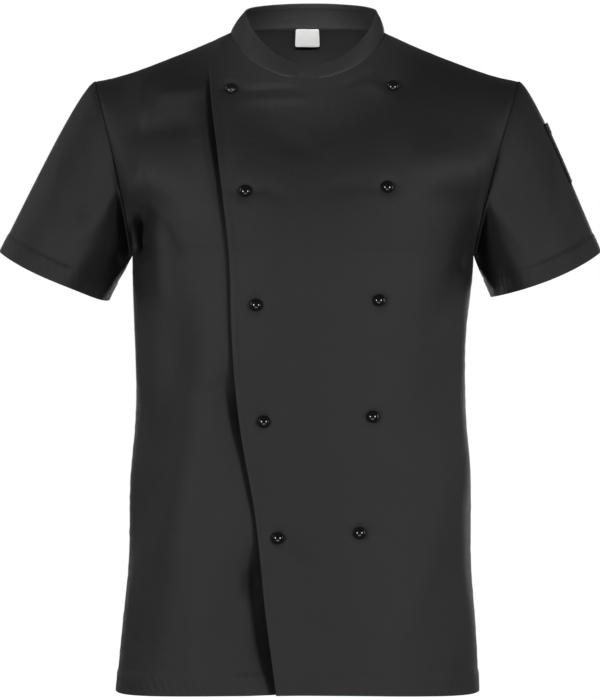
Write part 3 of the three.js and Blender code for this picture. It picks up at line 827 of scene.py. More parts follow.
# %% Hem and seam shaping
HEM = 23.0
HEM_THICKENING = 0.9
STITCH_SINK = 0.45
SLEEVE_HEM = 22.0
FRONT_STITCH = 6.0
NOT_AN_EDGE = 99.0
PUCKER_LENGTHS = (13.0, 19.0, 31.0)
SEAM = dict(width=3.0, puckered=9.0, puckers_from=3.0, roped=5.0, rope=0.7)


def turn_up_hem(cloth, distance, depth=HEM):
    band = smoothstep(depth + 1.0 - distance, 0, 2.0)
    groove = np.exp(-(((distance - depth) / 1.6) ** 2))
    cloth.extra += HEM_THICKENING * band
    cloth.lift -= STITCH_SINK * groove
    cloth.hem = np.maximum(cloth.hem, smoothstep(depth + 3 - distance, 0, 3) * smoothstep(distance, 0, 4))
    cloth.wear = np.maximum(cloth.wear, 0.5 * np.exp(-distance / 1.5))


def sink_seam(cloth, distance, run, seed, depth=0.5, pucker=0.35):
    random = np.random.default_rng(seed)
    wave = np.zeros_like(run)
    for length in PUCKER_LENGTHS:
        wave = wave + np.sin(run * FULL_TURN / length + random.uniform(0, 6.28))
    near = np.exp(-distance / SEAM["puckered"]) * smoothstep(distance, 0.0, SEAM["puckers_from"])
    cloth.lift -= depth * np.exp(-((distance / SEAM["width"]) ** 2))
    cloth.lift += pucker * near * wave / 1.5
    roped = SEAM["rope"] * np.exp(-distance / SEAM["roped"]) * smoothstep(distance, 0, 1.5)
    cloth.hem = np.maximum(cloth.hem, roped)


def stitch_groove(cloth, distance, depth):
    cloth.lift -= STITCH_SINK * 0.8 * np.exp(-(((distance - depth) / 1.2) ** 2))
    cloth.hem = np.maximum(cloth.hem, 0.6 * np.exp(-((distance - depth) / 4.0) ** 2))
    cloth.wear = np.maximum(cloth.wear, 0.35 * np.exp(-distance / 1.2))

# %% [markdown]
# ## Body panels
# The back is one piece. Each front is another, and they overlap by about fourteen centimetres: the
# wearer's left front lies over the right one, and its free edge slants from the collar to the hem. Both
# fronts follow one form, and the upper one is raised by a layer of cloth and a little air, so that they
# lie on each other without touching.

# %% Rows, columns and the lap
SPACING = 3.4
BACK_HEIGHT = 760.0
SIDE_WIDTH = 150
LAP_WIDTH = 110
FRONT_SIDE_WIDTH = 140
WIDEST_LAP = 0.45
HALVINGS = 30


def halve(low, high, is_short):
    """Where a rising measure reaches its mark, by halving: is_short(middle) tells which half to keep."""
    for _ in range(HALVINGS):
        middle = (low + high) / 2
        short = is_short(middle)
        low = np.where(short, middle, low)
        high = np.where(short, high, middle)
    return (low + high) / 2


def lap_top_row(column):
    """Row of the lapped corner's nearly level top edge."""
    column = np.asarray(column, float)
    away = np.clip(np.abs(column), 0, WIDEST_LAP) * np.where(column < 0, -1, 1)

    def is_short(row):
        point = bare_point(np.full(column.shape, True), away, row)
        across = (point[..., 0] - NECK["lean"]) / LAP_TOP["reach"]
        return point[..., 2] < LAP_TOP["centre_z"] + LAP_TOP["rise"] * across ** 2

    return halve(np.full(column.shape, LOWER_SHARE + 0.1), np.ones(column.shape), is_short)


def lap_lift(column):
    return (CLOTH + LAP_GAP) * smoothstep(-column, -0.05, 0.12)


def front_rows(shares, column, lapped):
    """Rows of a front at a column: under the lap they stop at its level top edge."""
    top = np.where(lapped, lap_top_row(column), 1.0)
    above = np.clip((shares - LOWER_SHARE) / (1 - LOWER_SHARE), 0, 1)
    return np.where(shares <= LOWER_SHARE, shares, LOWER_SHARE + above * (top - LOWER_SHARE))


def edge_columns(table, shares, lapped_side):
    """Column of a front's edge at each row share, from its table of x by height."""

    def is_short(column):
        row = front_rows(shares, column, np.full(shares.shape, lapped_side))
        point = bare_point(np.full(shares.shape, True), column, row)
        return point[..., 0] < smooth_table(table, point[..., 2])[..., 0]

    return halve(np.full(shares.shape, -0.7), np.full(shares.shape, 0.7), is_short)


row_shares = spaced_shares(BACK_HEIGHT, SPACING)
free_columns = edge_columns(FREE_EDGE, row_shares, True)
hidden_columns = edge_columns(HIDDEN_EDGE, row_shares, True)
print("rows:", len(row_shares), "free edge column at hem and top:", free_columns[[0, -1]].round(3))

# %% [markdown]
# ## Walls that meet
# Where a sleeve or the collar joins a panel the two forms face different ways. If each wall grew along
# its own normal, they would cut into each other or gape. So near a seam both grow along one shared
# direction, as a mitred corner does in carpentry.

# %% Mitred directions
def mitre(own, other):
    dot = (own * other).sum(-1, keepdims=True)
    shared = (own + other) / (1 + np.maximum(dot, -0.5))
    return np.where(dot < 0.3, own, shared)


def toward_seam(own, seam, distance, reach=5.0):
    """Blends a grid's own directions into its seam direction near that seam."""
    weight = np.exp(-((distance / reach) ** 2))[..., None]
    return lerp(own, seam, weight)


def risen(row):
    return np.clip((row - LOWER_SHARE) / (1 - LOWER_SHARE), 0, 1)


def panel_normals(front, column, row, place):
    """Directions of a panel's wall, mitred along the armholes and the neck."""
    normal = form_normal(front, column, row)
    around = armhole_angle(risen(row))
    left = distance_along(place, 1)
    right = left[:, -1:] - left
    for side, end, distance in ((-1, 0, left), (1, -1, right)):
        if not np.allclose(np.abs(column[:, end]), 1):
            continue
        edge = np.full(row[:, :1].shape, float(side))
        own = form_normal(front, edge, row[:, end][:, None])
        angle = around[:, end][:, None]
        sleeve = sleeve_normal(side, angle if front else 360 - angle, np.zeros_like(angle))
        seam = np.where((row[:, :1] >= LOWER_SHARE)[..., None], mitre(own, sleeve), own)
        normal = toward_seam(normal, seam, distance)
    low = distance_along(place, 0)
    high = low[-1:, :] - low
    top = column[-1]
    angle = neck_angle(front, np.clip(top, -NECK_SHARE, NECK_SHARE))
    seam = mitre(form_normal(front, top, row[-1]), collar_normal(angle, np.zeros_like(angle)))
    on_neck = (np.abs(top) <= NECK_SHARE + 1e-6) & (row[-1] > 0.999)
    seam = np.where(on_neck[:, None], seam, form_normal(front, top, row[-1]))[None]
    weight = np.where(on_neck, 1.0, 0.0)[None, :, None]
    return lerp(normal, toward_seam(normal, seam, high), weight)


def make_panel(name, front, column, row):
    place = body_point(front, column, row)
    return Cloth(name, place, panel_normals(front, column, row, place))

# %% Back
back_shares = np.concatenate([
    lerp(-1, -NECK_SHARE, spaced_shares(SIDE_WIDTH, SPACING, True, False)),
    np.linspace(-NECK_SHARE, NECK_SHARE, 62)[1:-1],
    lerp(NECK_SHARE, 1, spaced_shares(SIDE_WIDTH, SPACING, False, True))])
back_column, back_row = np.meshgrid(back_shares, row_shares)
back_cloth = make_panel("back_cloth", False, back_column, back_row)
turn_up_hem(back_cloth, back_cloth.low)
for seam_distance, seed in ((back_cloth.left, 11), (back_cloth.right, 12)):
    sink_seam(back_cloth, seam_distance, back_cloth.low, seed)
sink_seam(back_cloth, back_cloth.high, back_cloth.left, 13, pucker=0.2)
back_piece = build_cloth(back_cloth, CLOTH, twill, flip=True)

# %% Upper front, on the wearer's left
lap_shares = spaced_shares(LAP_WIDTH, SPACING, True, False)
neck_shares = np.linspace(0, 1, 32)[1:]
side_shares = spaced_shares(FRONT_SIDE_WIDTH, SPACING, False, True)[1:]
# The free edge lifts off the front below in places: height, half height, how far
EDGE_FLARES = ((-135, 60, 2.6), (-235, 45, 1.0), (-388, 38, 2.4), (-500, 40, 0.8), (-615, 55, 3.0))
FLARE_WIDTH = 13
FACING = dict(width=9, extra=0.6)


def front_grid(edge, lapped_first):
    """Columns and rows of a front, listed from its edge to its side seam."""
    sign = 1.0 if lapped_first else -1.0
    column = np.concatenate([
        lerp(edge[:, None], 0.0, lap_shares[None]),
        np.broadcast_to(sign * NECK_SHARE * neck_shares, (len(edge), len(neck_shares))),
        np.broadcast_to(sign * lerp(NECK_SHARE, 1, side_shares), (len(edge), len(side_shares)))], axis=1)
    shares = np.broadcast_to(row_shares[:, None], column.shape)
    return column, front_rows(shares, column, column * sign < 0)


over_column, over_row = front_grid(free_columns, True)
over_cloth = make_panel("front_left_cloth", True, over_column, over_row)
over_cloth.lift += lap_lift(over_column)
over_cloth.extra += FACING["extra"] * smoothstep(FACING["width"] - over_cloth.left, 0, 3)
over_z = over_cloth.place[..., 2]
near_edge = np.exp(-over_cloth.left / FLARE_WIDTH)
for flare_z, reach, rise in EDGE_FLARES:
    over_cloth.lift += rise * np.exp(-(((over_z - flare_z) / reach) ** 2)) * near_edge
turn_up_hem(over_cloth, over_cloth.low)
stitch_groove(over_cloth, over_cloth.left, FRONT_STITCH)
lapped_top = np.where(over_column < 0, over_cloth.high, NOT_AN_EDGE)
stitch_groove(over_cloth, lapped_top, FRONT_STITCH)
sink_seam(over_cloth, over_cloth.right, over_cloth.low, 21)
over_top_seam = np.where(over_column >= 0, over_cloth.high, NOT_AN_EDGE)
sink_seam(over_cloth, over_top_seam, over_cloth.left, 22, pucker=0.2)
over_piece = build_cloth(over_cloth, CLOTH, twill)

# %% Lower front, on the wearer's right
under_column, under_row = front_grid(hidden_columns, False)
under_column = under_column[:, ::-1]
under_row = under_row[:, ::-1]
# height, half height, depth and width of the hollows the under front makes beside the free edge
EDGE_DIPS = ((-112, 42, 6.5, 17), (-190, 40, 2.0, 12), (-300, 60, 1.2, 10), (-412, 40, 13.0, 25),
             (-480, 40, 4.0, 18), (-588, 36, 13.0, 28), (-655, 55, 20.0, 34))
# The under front sinks a little all along the free edge, below the lapped corner
EDGE_SINK = 3.0
CORNER_Z = -40

under_cloth = make_panel("front_right_cloth", True, under_column, under_row)
under_cloth.lift += lap_lift(under_column) - CLOTH - LAP_GAP
under_z = under_cloth.place[..., 2]
beside_edge = smooth_table(FREE_EDGE, under_z)[..., 0] - under_cloth.place[..., 0]
below_corner = smoothstep(CORNER_Z - under_z, 0, 16)
sunk = smoothstep(5 - beside_edge, 0, 5) * smoothstep(beside_edge, -22, -10)
under_cloth.lift -= EDGE_SINK * below_corner * sunk
for dip_z, reach, depth, width in EDGE_DIPS:
    at_height = below_corner * np.exp(-(((under_z - dip_z) / reach) ** 2))
    at_width = smoothstep(width - beside_edge, 0, width) * smoothstep(beside_edge, -70, -10)
    under_cloth.lift -= depth * at_height * at_width
turn_up_hem(under_cloth, under_cloth.low)
sink_seam(under_cloth, under_cloth.left, under_cloth.low, 31)
under_top_seam = np.where(under_column <= 0, under_cloth.high, NOT_AN_EDGE)
sink_seam(under_cloth, under_top_seam, under_cloth.left, 32, pucker=0.2)
under_piece = build_cloth(under_cloth, CLOTH, twill)

# %% [markdown]
# ## Sleeves
# A short sleeve is a tube with a hem at the cuff. Under the arm it falls back in one deep fold beside
# the seam, because a sleeve is cut wider than the arm, while the outside stays nearly smooth. Its
# creases are listed by angle round the arm, which is 0 on the outside and 90 in front, and share along
# it.

# %% Sleeve grids
# angle from, share from, angle to, share to, width in degrees, depth
SLEEVE_CREASES = {
    1: np.array([
        (136, -0.10, 152, 1.1, 30, -5), (112, 0.0, 96, 0.8, 9, 2.4), (172, 0.1, 160, 0.9, 9, 2.6),
        (205, 0.05, 228, 0.85, 10, -3.0), (232, 0.0, 246, 0.6, 9, 2.0), (60, 0.1, 82, 0.6, 12, -1.3),
        (30, 0.35, 62, 0.75, 11, 1.2), (300, 0.1, 284, 0.7, 13, -1.6), (96, 0.5, 84, 0.98, 10, -1.2)]),
    -1: np.array([
        (138, -0.10, 152, 1.1, 30, -5), (108, 0.0, 94, 0.75, 9, 2.6), (170, 0.15, 158, 0.95, 9, 2.4),
        (202, 0.0, 222, 0.8, 10, -3.2), (236, 0.05, 252, 0.7, 9, 2.0), (66, 0.05, 92, 0.5, 11, -1.5),
        (38, 0.3, 70, 0.8, 12, 1.3), (306, 0.15, 290, 0.8, 13, -1.6), (104, 0.45, 92, 0.95, 10, -1.4)]),
}
# The deep fold beside the seam under each arm: angle from, angle to, share, width as a share, depth
ARMPIT_FOLDS = {1: (112, 184, 0.045, 0.20, 30), -1: (100, 184, 0.045, 0.16, 32)}
# How far the inner side of each sleeve is carried back, further down
UNDERARM_LEAN = 20.0
# How far the inner corner of each cuff hangs below the rest, and where
CUFF_CORNER = {1: 1.5, -1: 6.5}
CUFF_CORNER_ANGLE = 158
SLEEVE_LENGTH = 215.0
SLEEVE_COLUMNS = 130


def sleeve_folds(side, around, along):
    height = np.zeros(around.shape)
    for a0, s0, a1, s1, width, depth in SLEEVE_CREASES[side]:
        share = np.clip((along - s0) / (s1 - s0), -0.5, 1.5)
        beside = around - lerp(a0, a1, share)
        inside = smoothstep(share, -0.15, 0.35) * smoothstep(1 - share, -0.15, 0.35)
        height = height + depth * inside * np.exp(-((beside / width) ** 2))
    return height * smoothstep(along, 0, 0.05)


def armpit_fold(side, around, along):
    """How far the sleeve falls straight back beside the seam under the arm."""
    angle, end_angle, share, width, depth = ARMPIT_FOLDS[side]
    inside = smoothstep(around, angle, angle + 28) * smoothstep(end_angle - around, 0, 40)
    reach = np.where(along < share, 0.02, width)
    fold = depth * inside * np.exp(-(((along - share) / reach) ** 2)) * smoothstep(along, 0, 0.02)
    lean = smoothstep(around, angle + 4, angle + 48) * smoothstep(265 - around, 0, 80)
    return fold + UNDERARM_LEAN * lean * smoothstep(along, 0.05, 0.40)


def make_sleeve(name, side, seed):
    """A folded tube of cloth, mitred onto the armhole."""
    angles = np.linspace(0, 360, SLEEVE_COLUMNS + 1)[:-1]
    along = spaced_shares(SLEEVE_LENGTH, SPACING)[::-1]
    around, share = np.meshgrid(angles, along)
    normal = sleeve_normal(side, around, share)
    fold = sleeve_folds(side, around, share)
    fold = fold + 0.5 * ripple(around * 1.1, share * SLEEVE_LENGTH, seed, 80) * smoothstep(share, 0, 0.1)
    place = sleeve_point(side, around, share) + normal * fold[..., None]
    place[..., 1] += armpit_fold(side, around, share)
    near_corner = np.exp(-(((around - CUFF_CORNER_ANGLE) / 38) ** 2))
    place[..., 2] -= CUFF_CORNER[side] * near_corner * share ** 3
    front = angles <= 180
    rises = np.linspace(0, 1, 400)
    up = np.interp(-np.where(front, angles, 360 - angles), -armhole_angle(rises), rises)
    row = lerp(LOWER_SHARE, 1, up)
    edge = np.full_like(row, side)
    body = np.where(front[:, None], form_normal(True, edge, row), form_normal(False, edge, row))
    seam = mitre(normal[-1], body)[None]
    cloth = Cloth(name, place, normal, closed=True)
    cloth.normal = toward_seam(normal, seam, cloth.high)
    turn_up_hem(cloth, cloth.low, SLEEVE_HEM)
    sink_seam(cloth, cloth.high, cloth.left, seed, pucker=0.3)
    return cloth


sleeve_cloths = {}
sleeve_pieces = {}
for side, name in ((-1, "sleeve_right_cloth"), (1, "sleeve_left_cloth")):
    sleeve_cloths[side] = make_sleeve(name, side, 40 + side)
    sleeve_pieces[side] = build_cloth(sleeve_cloths[side], CLOTH, twill, flip=side > 0)

# %% [markdown]
# ## Collar
# The stand collar is two layers of cloth with a stiff interlining, so it is thicker than the panels and
# keeps its shape. Its two ends stop short of each other at the centre of the neck, and their upper
# corners are rounded. The rounding is made by bending the top line of the grid down near each end.

# %% Collar grid
COLLAR_CLOTH = 2.2
# Angle from the centre front at which the collar stops
COLLAR_END = 8.0
COLLAR_CORNER = 9.0
COLLAR_FRONT_RADIUS = 55
COLLAR_FRONT_HEIGHT = 26
COLLAR_STITCH = 5.0
COLLAR_SEAM_STITCH = 2.0
COLLAR_ROLL = 1.2

collar_shares = spaced_shares(440, 2.6)
collar_ups = spaced_shares(44, 1.9)
collar_around, collar_up = np.meshgrid(lerp(COLLAR_END, 360 - COLLAR_END, collar_shares), collar_ups)


def collar_corner(around):
    """Share of the full height that the top line reaches at an angle."""
    from_end = np.radians(np.minimum(around, 360 - around) - COLLAR_END) * COLLAR_FRONT_RADIUS
    t = np.clip(from_end / COLLAR_CORNER, 0, 1)
    return 1 - (COLLAR_CORNER / COLLAR_FRONT_HEIGHT) * (1 - np.sqrt(1 - (1 - t) ** 2))


collar_height = collar_up * collar_corner(collar_around)
collar_place = collar_point(collar_around, collar_height)
collar_way = collar_normal(collar_around, collar_height)
collar_roll = COLLAR_ROLL * np.sin(np.pi * np.clip(collar_height, 0, 1))
collar_ripple = 0.35 * ripple(collar_around * 1.2, collar_height * 40, 52, 60)
collar_place = collar_place + collar_way * (collar_roll + collar_ripple)[..., None]
collar_cloth = Cloth("collar_cloth", collar_place, collar_way)

neck_around = collar_around[0]
collar_front = (neck_around <= 90) | (neck_around >= 270)
neck_column = np.where(
    collar_front,
    np.where(neck_around > 180, neck_around - 360, neck_around) / 90,
    (180 - neck_around) / 90) * NECK_SHARE
top_row = np.ones_like(neck_column)
body_way = np.where(
    collar_front[:, None], form_normal(True, neck_column, top_row), form_normal(False, neck_column, top_row))
collar_cloth.normal = toward_seam(collar_way, mitre(collar_way[0], body_way)[None], collar_cloth.low)
for edge_distance in (collar_cloth.high, collar_cloth.left, collar_cloth.right):
    stitch_groove(collar_cloth, edge_distance, COLLAR_STITCH)
sink_seam(collar_cloth, collar_cloth.low, collar_cloth.left, 53, pucker=0.15)
collar_piece = build_cloth(collar_cloth, COLLAR_CLOTH, twill)

# %% [markdown]
# ## Sleeve pocket
# A narrow patch pocket for pens sits on the outside of the left sleeve. It is its own piece of cloth on
# the sleeve's form, moved out by its thickness and a little air, with a turned-down top edge.

# %% Pocket
POCKET_CLOTH = 1.2
POCKET_GAP = 0.3
POCKET_ANGLES = (-38.0, 20.0)
POCKET_SHARES = (0.60, 0.265)
POCKET_WIDTH = 62
POCKET_HEIGHT = 66
POCKET_SPACING = 2.2
POCKET_STITCH = 2.5
POCKET_HEM = 14.0
# The mouth stands a little open in the middle
POCKET_MOUTH = dict(lift=1.4, reach=20)

pocket_around, pocket_along = np.meshgrid(
    lerp(*POCKET_ANGLES, spaced_shares(POCKET_WIDTH, POCKET_SPACING)),
    lerp(*POCKET_SHARES, spaced_shares(POCKET_HEIGHT, POCKET_SPACING)))
pocket_way = sleeve_normal(1, pocket_around, pocket_along)
pocket_place = sleeve_point(1, pocket_around, pocket_along)
pocket_cloth = Cloth("sleeve_pocket_cloth", pocket_place, pocket_way)
near_mouth = smoothstep(POCKET_MOUTH["reach"] - pocket_cloth.high, 0, POCKET_MOUTH["reach"])
mid_mouth = np.sin(np.pi * np.clip(pocket_cloth.left / POCKET_WIDTH, 0, 1))
pocket_cloth.lift += POCKET_CLOTH + POCKET_GAP + POCKET_MOUTH["lift"] * near_mouth * mid_mouth
for edge_distance in (pocket_cloth.left, pocket_cloth.right, pocket_cloth.low):
    stitch_groove(pocket_cloth, edge_distance, POCKET_STITCH)
turn_up_hem(pocket_cloth, pocket_cloth.high, POCKET_HEM)
pocket_piece = build_cloth(pocket_cloth, POCKET_CLOTH, twill, flip=True)

# %% [markdown]
# ## Neck label
# A white woven label hangs inside the back of the neck. It is left bare. Woven satin is smoother than
# the jacket's cloth and catches the light in fine level lines, so it has a finish of its own.

# %% Label finish
PICKS_PER_METRE = 2400
ENDS_PER_METRE = 3000


def make_label_satin():
    finish = Finish("white_satin")
    uv, across, up = finish.uv_axes()
    picks = (up * (PICKS_PER_METRE * FULL_TURN)).sine()
    ends = (across * (ENDS_PER_METRE * FULL_TURN)).sine()
    clouds = finish.noise(uv, 160.0, 3.0)
    colour = finish.mix_colour(clouds, (0.94, 0.94, 0.93, 1), (0.98, 0.98, 0.97, 1))
    normal = finish.node(
        "ShaderNodeBump", None, {"Height": picks * 0.04 + ends * 0.02 + clouds * 0.3, "Distance": 0.0006})
    shader = finish.node("ShaderNodeBsdfPrincipled", None, {
        "Base Color": colour, "Roughness": 0.42 + clouds * 0.15, "Sheen Weight": 0.2, "Normal": normal})
    return finish.close(shader)


satin = make_label_satin()
print("finish:", satin.name)

# %% Label
LABEL = dict(width=27.0, height=19.5, top_z=15.5, clear=1.5, lean=0.3, corner=2.0, cloth=0.5, spacing=0.9)
LABEL_SEAM = dict(below=2.0, width=0.8, depth=0.25)

label_half = math.degrees(math.asin(LABEL["width"] / 2 / NECK["half"]))
label_around, label_hang = np.meshgrid(
    lerp(180 - label_half, 180 + label_half, spaced_shares(LABEL["width"], LABEL["spacing"])),
    lerp(LABEL["height"], 0, spaced_shares(LABEL["height"], LABEL["spacing"])))
label_seam = ring_point(NECK, label_around)
label_way = collar_normal(label_around, np.zeros_like(label_around))
label_way[..., 2] = 0
label_way = unit(label_way)
label_place = label_seam + label_way * (LABEL["lean"] * label_hang - CLOTH - LABEL["clear"])[..., None]
label_place[..., 2] = LABEL["top_z"] - label_hang

# The corners are rounded by drawing the ends of the rows in towards the middle
square_label = Cloth("square_label", label_place, label_way)
corner_x = np.clip(LABEL["corner"] - np.minimum(square_label.left, square_label.right), 0, None)
tuck = LABEL["corner"] - np.sqrt(np.clip(LABEL["corner"] ** 2 - corner_x**2, 0, None))
middle_hang = LABEL["height"] / 2
label_place[..., 2] = LABEL["top_z"] - middle_hang + (middle_hang - label_hang) * (1 - tuck / middle_hang)
label_cloth = Cloth("neck_label_cloth", label_place, label_way)
from_seam = (label_cloth.high - LABEL_SEAM["below"]) / LABEL_SEAM["width"]
label_cloth.lift -= LABEL_SEAM["depth"] * np.exp(-(from_seam ** 2))
label_piece = build_cloth(label_cloth, LABEL["cloth"], satin)

# %% [markdown]
# ## Stitches
# A line of stitching is the same short loop of thread hundreds of times, so Geometry Nodes make it: the
# tree takes a path along the cloth, places points at the stitch pitch, sets a rounded thread on each,
# turned along the path and seated on the cloth, and bakes the copies into real mesh. Modelling one
# stitch and an array would not follow a curved hem. The same tree turned a quarter makes the bars of a
# worked buttonhole.

# %% Stitch tree
SHORTEST_STITCH = 0.86
LONGEST_STITCH = 1.08


def make_stitch_tree():
    """Stitches along a path: a thread at each step of the pitch, turned along it and seated on the cloth."""
    tree = bpy.data.node_groups.new("stitches", "GeometryNodeTree")
    face = tree.interface
    face.new_socket("Path", in_out="INPUT", socket_type="NodeSocketGeometry")
    sizes = (("Pitch", 0.0026), ("Length", 0.0021), ("Width", 0.00055), ("Turn", 0.0), ("Seed", 1))
    for title, size in sizes:
        kind = "NodeSocketInt" if title == "Seed" else "NodeSocketFloat"
        face.new_socket(title, in_out="INPUT", socket_type=kind).default_value = size
    face.new_socket("Thread", in_out="INPUT", socket_type="NodeSocketMaterial")
    face.new_socket("Stitches", in_out="OUTPUT", socket_type="NodeSocketGeometry")

    def add(kind, settings=None, values=None):
        node = tree.nodes.new(kind)
        for key, value in (settings or {}).items():
            setattr(node, key, value)
        for key, value in (values or {}).items():
            if isinstance(value, bpy.types.NodeSocket):
                tree.links.new(value, node.inputs[key])
            else:
                node.inputs[key].default_value = value
        return node

    start = add("NodeGroupInput").outputs
    curve = add("GeometryNodeMeshToCurve", None, {"Mesh": start["Path"]})
    even = add("GeometryNodeResampleCurve", dict(mode="LENGTH"), {
        "Curve": curve.outputs[0], "Length": start["Pitch"]})
    tangent = add("GeometryNodeInputTangent")
    upward = add("GeometryNodeInputNamedAttribute", dict(data_type="FLOAT_VECTOR"), {"Name": "up"})
    along = add("FunctionNodeAlignRotationToVector", dict(axis="X"), {"Vector": tangent.outputs[0]})
    seated = add("FunctionNodeAlignRotationToVector", dict(axis="Z", pivot_axis="X"), {
        "Rotation": along.outputs[0], "Vector": upward.outputs[0]})
    quarter = add("ShaderNodeCombineXYZ", None, {"Z": start["Turn"]})
    turned = add("FunctionNodeEulerToRotation", None, {0: quarter.outputs[0]})
    way = add("FunctionNodeRotateRotation", dict(rotation_space="LOCAL"), {
        "Rotation": seated.outputs[0], "Rotate By": turned.outputs[0]})
    thread = add("GeometryNodeMeshUVSphere", None, {"Segments": 6, "Rings": 5, "Radius": 0.5})
    size = add("ShaderNodeCombineXYZ", None, {
        "X": start["Length"], "Y": start["Width"], "Z": start["Width"]})
    uneven = add("FunctionNodeRandomValue", dict(data_type="FLOAT"), {
        2: SHORTEST_STITCH, 3: LONGEST_STITCH, "Seed": start["Seed"]})
    scaled = add("ShaderNodeVectorMath", dict(operation="SCALE"), {
        0: size.outputs[0], "Scale": uneven.outputs[1]})
    laid = add("GeometryNodeInstanceOnPoints", None, {
        "Points": even.outputs[0], "Instance": thread.outputs[0],
        "Rotation": way.outputs[0], "Scale": scaled.outputs[0]})
    real = add("GeometryNodeRealizeInstances", None, {0: laid.outputs[0]})
    smooth = add("GeometryNodeSetShadeSmooth", None, {0: real.outputs[0]})
    painted = add("GeometryNodeSetMaterial", None, {
        "Geometry": smooth.outputs[0], "Material": start["Thread"]})
    end = add("NodeGroupOutput")
    tree.links.new(painted.outputs[0], end.inputs[0])
    return tree


stitch_tree = make_stitch_tree()
print("stitch tree nodes:", len(stitch_tree.nodes))

# %% Sewing a run
def sew(name, runs, pitch=2.6, length=2.2, width=0.6, turn=0.0, seed=1):
    """Stitches along runs of (places, up directions) in millimetres, as one plain mesh."""
    places = []
    ways = []
    links = []
    for place, way in runs:
        first = len(places)
        places += [tuple(p * MM) for p in place]
        ways += [tuple(w) for w in unit(way)]
        links += [(k, k + 1) for k in range(first, len(places) - 1)]
    path = bpy.data.meshes.new(name + "_path")
    path.from_pydata(places, links, [])
    up = path.attributes.new("up", "FLOAT_VECTOR", "POINT")
    up.data.foreach_set("vector", np.array(ways, np.float32).ravel())
    sewing = add_object(name + "_path", path)
    modifier = sewing.modifiers.new("stitches", "NODES")
    modifier.node_group = stitch_tree
    values = dict(
        Pitch=pitch * MM, Length=length * MM, Width=width * MM, Turn=turn, Seed=seed, Thread=thread_black)
    for item in stitch_tree.interface.items_tree:
        if item.item_type == "SOCKET" and item.in_out == "INPUT" and item.name in values:
            modifier[item.identifier] = values[item.name]
    bpy.context.view_layer.update()
    evaluated = sewing.evaluated_get(bpy.context.evaluated_depsgraph_get())
    mesh = bpy.data.meshes.new_from_object(evaluated)
    mesh.name = name
    bpy.data.objects.remove(sewing)
    print(name, "faces", len(mesh.polygons))
    return add_object(name, mesh)

# %% [markdown]
# ## Where the stitch lines run
# Each line keeps a fixed distance from an edge: the presser foot of the machine runs along it. A grid
# knows its distances, so a line is found by looking up, in every column or row, where that distance is
# reached.

# %% Stitch lines on a grid
# How deep a thread lies in the cloth, and how much of the extra thickness is above it
THREAD_SINK = 0.1
EXTRA_ABOVE = 0.85


def line_beside(cloth, distance, axis, gap):
    """Points where a distance grid reaches gap, looked for along rows (axis 1) or columns (axis 0)."""
    outer = cloth.outer() + cloth.normal * (cloth.extra * EXTRA_ABOVE - THREAD_SINK)[..., None]
    normal = cloth.normal
    if axis == 0:
        outer = outer.transpose(1, 0, 2)
        normal = normal.transpose(1, 0, 2)
        distance = distance.T
    places = []
    ways = []
    for distances, points_there, ways_there in zip(distance, outer, normal):
        order = slice(None) if distances[-1] > distances[0] else slice(None, None, -1)
        for found, values in ((places, points_there), (ways, ways_there)):
            found.append([np.interp(gap, distances[order], values[order, i]) for i in range(3)])
    return np.array(places), np.array(ways)


def part_of(line, keep):
    return line[0][keep], line[1][keep]


def hem_line(cloth, depth=HEM):
    line = line_beside(cloth, cloth.low, 0, depth)
    if cloth.closed:
        return tuple(np.concatenate([values, values[:1]]) for values in line)
    return line


# %% Every stitch line
over_side_rows = (over_cloth.low[:, 0] > 1.5) & (over_cloth.high[:, 0] > FRONT_STITCH)
over_top_columns = (over_cloth.left[-1] > FRONT_STITCH) & (over_column[-1] < 0.0)
collar_end_rows = (collar_cloth.low[:, 0] > 0.5) & (collar_cloth.high[:, 0] > COLLAR_STITCH)
collar_top_columns = (collar_cloth.left[-1] > COLLAR_STITCH) & (collar_cloth.right[-1] > COLLAR_STITCH)
stitch_runs = {
    "back": [hem_line(back_cloth)],
    "front_left": [
        part_of(line_beside(over_cloth, over_cloth.left, 1, FRONT_STITCH), over_side_rows),
        part_of(line_beside(over_cloth, over_cloth.high, 0, FRONT_STITCH), over_top_columns),
        hem_line(over_cloth)],
    "front_right": [hem_line(under_cloth)],
    "sleeve_right": [hem_line(sleeve_cloths[-1], SLEEVE_HEM)],
    "sleeve_left": [hem_line(sleeve_cloths[1], SLEEVE_HEM)],
    "collar": [
        part_of(line_beside(collar_cloth, collar_cloth.high, 0, COLLAR_STITCH), collar_top_columns),
        part_of(line_beside(collar_cloth, collar_cloth.left, 1, COLLAR_STITCH), collar_end_rows),
        part_of(line_beside(collar_cloth, collar_cloth.right, 1, COLLAR_STITCH), collar_end_rows),
        line_beside(collar_cloth, collar_cloth.low, 0, COLLAR_SEAM_STITCH)],
    "sleeve_pocket": [
        line_beside(pocket_cloth, pocket_cloth.left, 1, POCKET_STITCH),
        line_beside(pocket_cloth, pocket_cloth.right, 1, POCKET_STITCH),
        line_beside(pocket_cloth, pocket_cloth.low, 0, POCKET_STITCH),
        line_beside(pocket_cloth, pocket_cloth.high, 0, POCKET_HEM)],
}
stitch_pieces = {
    node: sew("stitches_" + node, runs, seed=k + 1) for k, (node, runs) in enumerate(stitch_runs.items())}

# %% [markdown]
# ## Studs and buttonholes
# A chef's stud is a glossy plastic dome on a short neck. It is pushed through a hole worked in both
# fronts and can be taken out for washing. The dome is a profile spun round its own axis; the finish is
# nearly a mirror, so its look comes from the two softboxes. Under it lies the worked hole: bars of
# thread round a short level slit.

